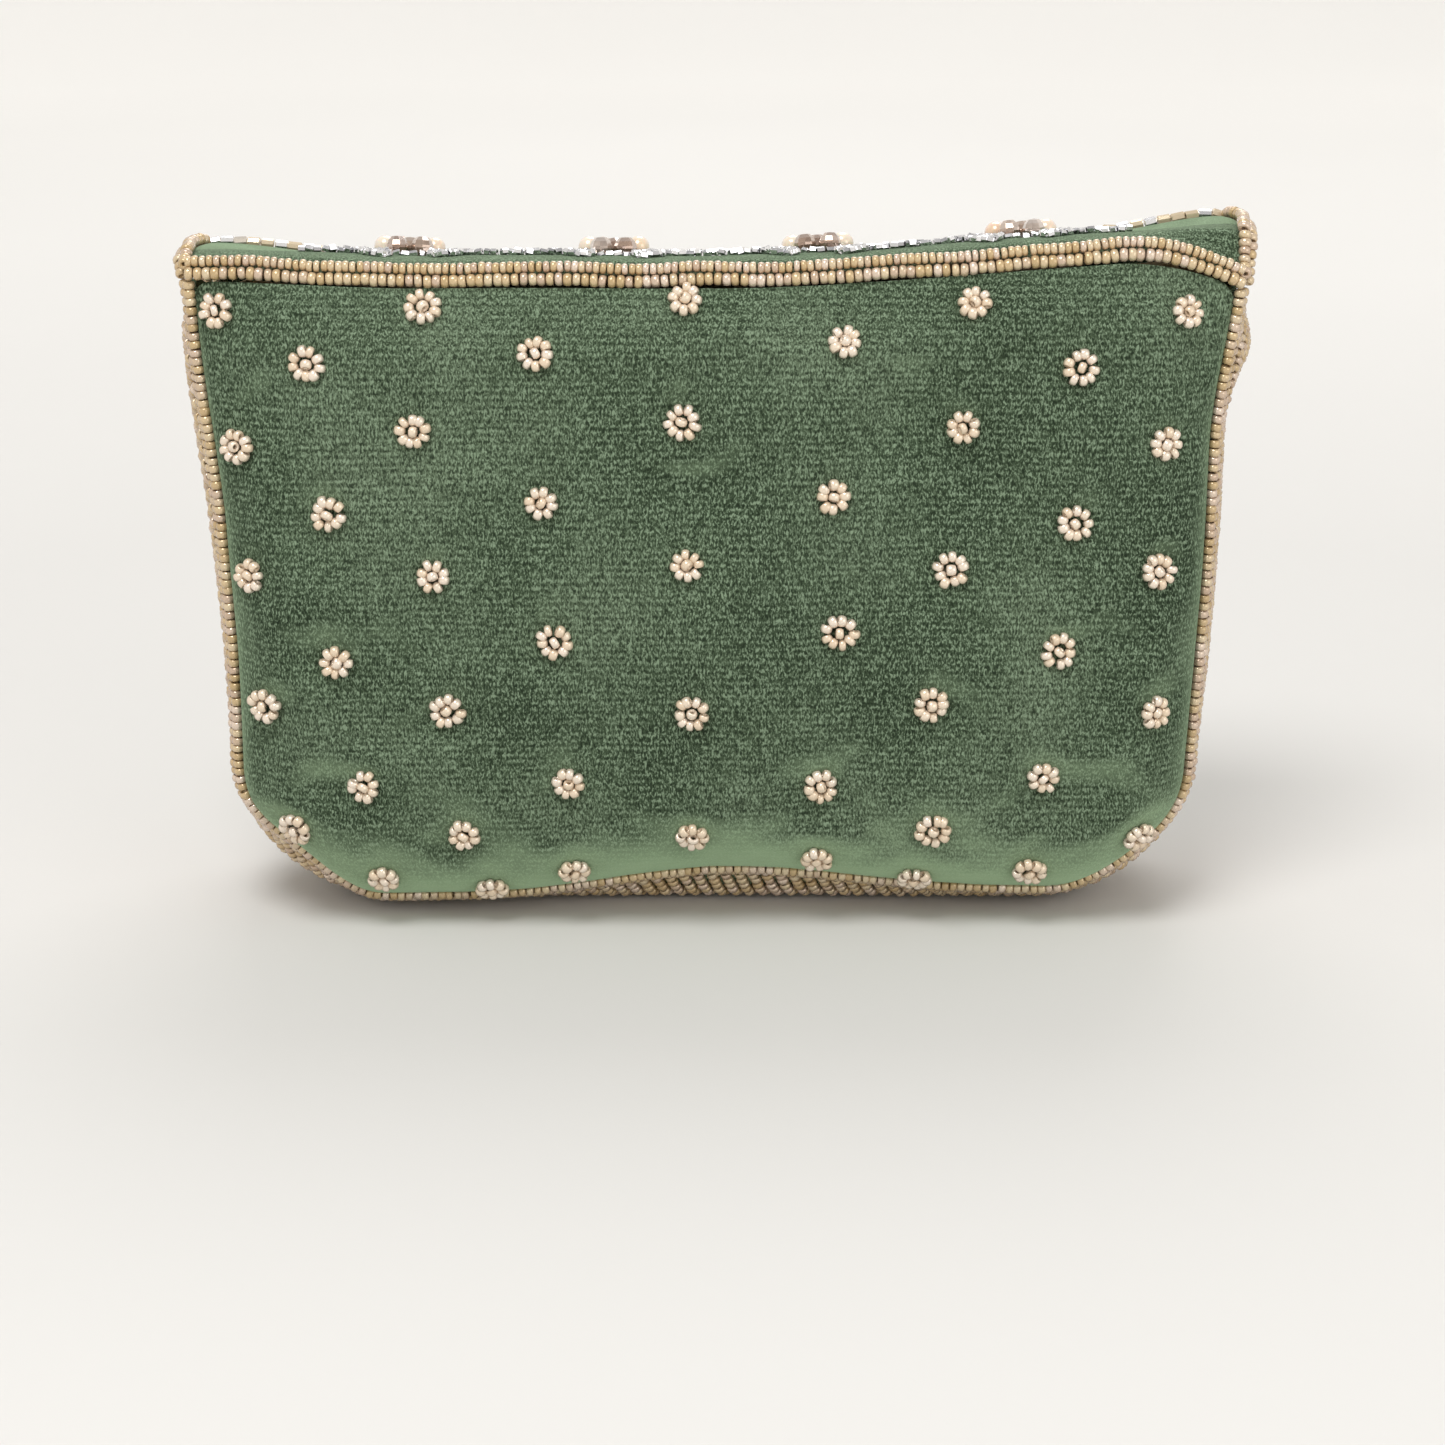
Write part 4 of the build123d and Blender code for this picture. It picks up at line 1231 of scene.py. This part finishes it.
def seed_bead_look(name, shades):
    """Lustred cream glass beads, each a little different, with painted shade that makes them browner where
    they turn away.
    """
    look = Look(name, IOR=1.55, Coat_Weight=0.7, Coat_Roughness=0.12)
    each = look.island()
    colour = look.ramp(each, *shades)
    # painted shade: browner towards each bead's edges, where it turns away from view
    colour = look.mix(look.span(look.facing(0.5), 0.3, 0.95, 0.0, 0.5), colour, tone(146, 120, 104))
    speckle = look.noise(900.0, 2.0, 0.5)
    look.surface(
        Base_Color=colour, Metallic=look.span(each, 0, 1, 0.22, 0.42),
        Roughness=look.span(speckle, 0.3, 0.7, 0.16, 0.30), Specular_Tint=tone(255, 236, 226)
    )
    return look.material


def ridge_bead_look():
    """Cut tube beads, some champagne and some bright silver."""
    look = Look("ridge_bead_cut_glass", Roughness=0.12, Coat_Weight=0.4)
    silver = look.span(look.island(), 0.52, 0.54)
    colour = look.mix(silver, tone(214, 196, 168), tone(236, 236, 238))
    look.surface(Base_Color=colour, Metallic=look.span(silver, 0, 1, 0.35, 0.95))
    return look.material


def silver_bead_look():
    look = Look("silver_cut_bead", Metallic=1.0)
    colour = look.ramp(look.island(), (0.0, tone(196, 196, 200)), (1.0, tone(250, 250, 252)))
    worn = look.noise(700.0, 3.0, 0.6)
    look.surface(Base_Color=colour, Roughness=look.span(worn, 0.3, 0.7, 0.10, 0.26))
    return look.material


def pearl_look():
    """Cream and peach pearl beads: a soft body under a clear skin, with a painted pinkish-white sheen
    where they turn away.
    """
    look = Look("cream_pearl", IOR=1.55, Coat_Weight=0.9, Coat_Roughness=0.05, Roughness=0.28)
    shades = (
        (0.0, tone(236, 216, 186)), (1.0, tone(242, 232, 214)), (0.35, tone(230, 196, 164)),
        (0.7, tone(238, 222, 200))
    )
    body = look.ramp(look.island(), *shades)
    # painted sheen: pinkish-white where each pearl turns away from view
    colour = look.mix(look.span(look.facing(0.4), 0.1, 1.0, 0.0, 0.6), body, tone(246, 232, 232))
    cloudy = look.noise(420.0, 3.0, 0.5)
    colour = look.mix(look.span(cloudy, 0.4, 0.8, 0.0, 0.25), colour, tone(222, 204, 178))
    look.surface(Base_Color=colour, Metallic=0.12, Subsurface_Weight=0.15, Subsurface_Scale=0.001)
    return look.material


def crystal_look():
    """Smoky champagne crystals, faceted, each a little lighter or darker."""
    look = Look("smoky_crystal", IOR=1.6, Coat_Weight=1.0, Coat_Roughness=0.02, Roughness=0.06)
    shades = (
        (0.0, tone(160, 128, 108)), (1.0, tone(222, 210, 202)), (0.4, tone(188, 160, 140)),
        (0.7, tone(206, 184, 166))
    )
    colour = look.ramp(look.island(), *shades)
    cloud = look.noise(380.0, 2.0, 0.5)
    colour = look.mix(look.span(cloud, 0.40, 0.75, 0.0, 0.4), colour, tone(112, 84, 70))
    look.surface(Base_Color=colour, Transmission_Weight=0.4, Metallic=0.4)
    return look.material


def satin_look():
    """Champagne satin: fine threads that catch the light along one way."""
    look = Look("champagne_satin", Anisotropic=0.6, Specular_IOR_Level=0.6)
    threads = look.noise(900.0, 3.0, 0.55, look.stretch(1.0, 1.0, 0.06))
    cross = look.noise(1400.0, 2.0, 0.5, look.stretch(0.08, 1.0, 1.0))
    cloud = look.noise(26.0, 3.0, 0.5)
    colour = look.ramp(cloud, (0.3, tone(198, 178, 142)), (0.7, tone(222, 206, 174)))
    colour = look.mix(look.span(threads, 0.35, 0.7, 0.0, 0.22), colour, tone(168, 146, 110))
    look.surface(
        Base_Color=colour, Roughness=look.span(threads, 0.3, 0.7, 0.30, 0.44), Sheen_Weight=0.25,
        Sheen_Roughness=0.3
    )
    look.bump(look.sum("ADD", threads, look.sum("MULTIPLY", cross, 0.5)), 0.35, 0.00012)
    return look.material


def foam_look():
    look = Look("padding_foam", Roughness=0.95, Subsurface_Weight=0.1, Subsurface_Scale=0.002)
    cells = look.node("TexVoronoi", {"Vector": look.coordinates, "Scale": 900.0}).outputs["Distance"]
    cloud = look.noise(60.0, 3.0, 0.6)
    look.surface(Base_Color=look.ramp(cloud, (0.3, tone(226, 220, 200)), (0.7, tone(240, 236, 222))))
    look.bump(cells, 0.6, 0.0004)
    return look.material


def board_look():
    look = Look("pressed_board", Roughness=0.8)
    fibres = look.noise(260.0, 5.0, 0.65, look.stretch(0.5, 1.0, 1.0))
    look.surface(Base_Color=look.ramp(fibres, (0.35, tone(150, 132, 104)), (0.7, tone(186, 168, 138))))
    look.bump(fibres, 0.3, 0.0002)
    return look.material


def snap_look(name, light, dark, rough):
    """Plated steel with fine turning marks and small rubs."""
    look = Look(name, Metallic=1.0)
    marks = look.noise(1500.0, 2.0, 0.5, look.stretch(0.1, 1.0, 1.0))
    rubs = look.noise(240.0, 4.0, 0.65)
    look.surface(
        Base_Color=look.ramp(rubs, (0.35, light), (0.75, dark)),
        Roughness=look.span(rubs, 0.3, 0.75, rough, rough + 0.16),
    )
    look.bump(marks, 0.15, 0.00008)
    return look.material


def dress(node, material):
    """Gives a CAD node that is kept its finished material."""
    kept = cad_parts[node]
    kept.data.materials.clear()
    kept.data.materials.append(material)


# ---- the bag ------------------------------------------------------------------------------------------
velvet_upright = velvet_look("sage_velvet_upright", "Z", 0.9)
velvet_level = velvet_look("sage_velvet_strip", "Y", 0.25)
seed_bead = seed_bead_look("champagne_seed_bead", STRING_SHADES)
cream_bead = seed_bead_look("cream_flower_bead", FLOWER_SHADES)
satin, foam, board = satin_look(), foam_look(), board_look()
pearl, crystal, silver = pearl_look(), crystal_look(), silver_bead_look()

back_flowers = flower_places(BODY, 0.0, BODY.top)
back = Panel(BODY, -1, BACK_DEPTH, BACK_FLATTER, BACK_ROUNDS, back_flowers, 3)
back.blow_up(BACK_PUFF)
back_skin = make_panel(back, "back", velvet_upright, foam, board)
make_flowers("back_flowers", "back_bead_flowers", back_skin, back_flowers, 21, cream_bead)

front_flowers = flower_places(MOUTH, 0.001, FLAP.foot - 0.002)
front = Panel(MOUTH, 1, FRONT_DEPTH, 0.0, FRONT_ROUNDS, front_flowers, 4)
front.blow_up(FRONT_PUFF, [(0.0, snap_z, SNAP_HELD_R)])
front_skin = make_panel(front, "front", velvet_upright, foam, board)
make_flowers("front_flowers", "front_bead_flowers", front_skin, front_flowers, 22, cream_bead)

make_gusset(velvet_upright, satin, seed_bead)
make_edge_strings(seed_bead)
make_linings(satin)

flap_skin = make_flap(velvet_level, velvet_upright, foam, board, satin)
make_flap_strings(seed_bead, ridge_bead_look(), flap_skin)
make_hinge_strings(seed_bead)
make_embroidery(strip_embroidery(flap_skin), "flap_top", "flap_top", pearl, crystal, silver)
make_embroidery(front_embroidery(flap_skin), "flap_front", "flap_front", pearl, crystal, silver)

gold = snap_look("light_gold_snap", tone(226, 204, 156), tone(178, 152, 104), 0.22)
steel = snap_look("nickel_washer", tone(196, 194, 188), tone(140, 138, 132), 0.3)
for snap_node in ("snap_socket", "snap_stud"):
    dress(snap_node, gold)
for washer_node in ("snap_socket_washer", "snap_stud_washer"):
    dress(washer_node, steel)
dress("snap_magnet", snap_look("dark_magnet", tone(92, 90, 88), tone(52, 50, 50), 0.35))
dress("base_board", board)


# ---- studio -------------------------------------------------------------------------------------------
def make_backdrop():
    """A pale round floor whose rim turns up far from the bag, and that glows a little out there."""
    flat, turn, rise = 1.5, 1.0, 2.6
    angle = np.linspace(0, math.pi / 2, 24)
    reach = np.r_[0.001, flat + turn * np.sin(angle), flat + turn][:, None]
    z = np.r_[0, turn * (1 - np.cos(angle)), rise][:, None]
    around = np.linspace(0, 2 * math.pi, 97)
    points = stacked(reach * np.cos(around), reach * np.sin(around), z)
    look = Look("pale_sweep", Roughness=0.7, Specular_IOR_Level=0.2)
    cloud = look.noise(1.5, 2.0, 0.5)
    away = look.node("VectorMath", {0: look.coordinates}, operation="LENGTH").outputs["Value"]
    look.surface(
        Base_Color=look.ramp(cloud, (0.3, tone(210, 209, 207)), (0.7, tone(214, 213, 211))),
        Emission_Color=tone(250, 247, 242), Emission_Strength=look.span(away, 0.3, 1.6, 0.0, 0.34)
    )
    look.material.cycles.emission_sampling = "NONE"
    sweep = make_piece("pale_sweep", points.reshape(-1, 3), grid_quads(*points.shape[:2]), look.material)


def make_light(name, place, aim, size, power, colour=(1.0, 1.0, 1.0)):
    light = bpy.data.lights.new(name, "AREA")
    light.shape, light.size, light.energy, light.color = "DISK", size, power, colour
    lamp = bpy.data.objects.new(name, light)
    lamp.location = place
    direction = Vector(aim) - Vector(place)
    lamp.rotation_euler = direction.to_track_quat("-Z", "Y").to_euler()
    bpy.context.scene.collection.objects.link(lamp)


def make_studio():
    make_backdrop()
    make_light("key_light", (-0.25, -0.55, 1.25), (0, 0, 0.06), 0.6, 9.9, (1.0, 0.99, 0.98))
    make_light("fill_light", (0.9, -0.9, 0.5), (0, 0, 0.06), 0.8, 2.6)
    make_light("back_light", (0.1, 0.9, 1.2), (0, 0, 0.08), 0.9, 6.5)
    world = bpy.data.worlds.new("studio")
    world.use_nodes = True
    world.node_tree.nodes["Background"].inputs["Color"].default_value = tone(248, 246, 243)
    world.node_tree.nodes["Background"].inputs["Strength"].default_value = 0.55
    bpy.context.scene.world = world
    bpy.context.scene.view_settings.view_transform = "Standard"


def make_camera():
    camera = bpy.data.objects.new("camera", bpy.data.cameras.new("camera"))
    camera.data.lens, camera.data.sensor_width = 72.25, 36.0
    camera.location = (0.0012, -0.511, 0.192)
    camera.rotation_euler = (math.radians(90 - 17.5), 0, 0)
    bpy.context.scene.collection.objects.link(camera)
    bpy.context.scene.camera = camera


make_studio()
make_camera()
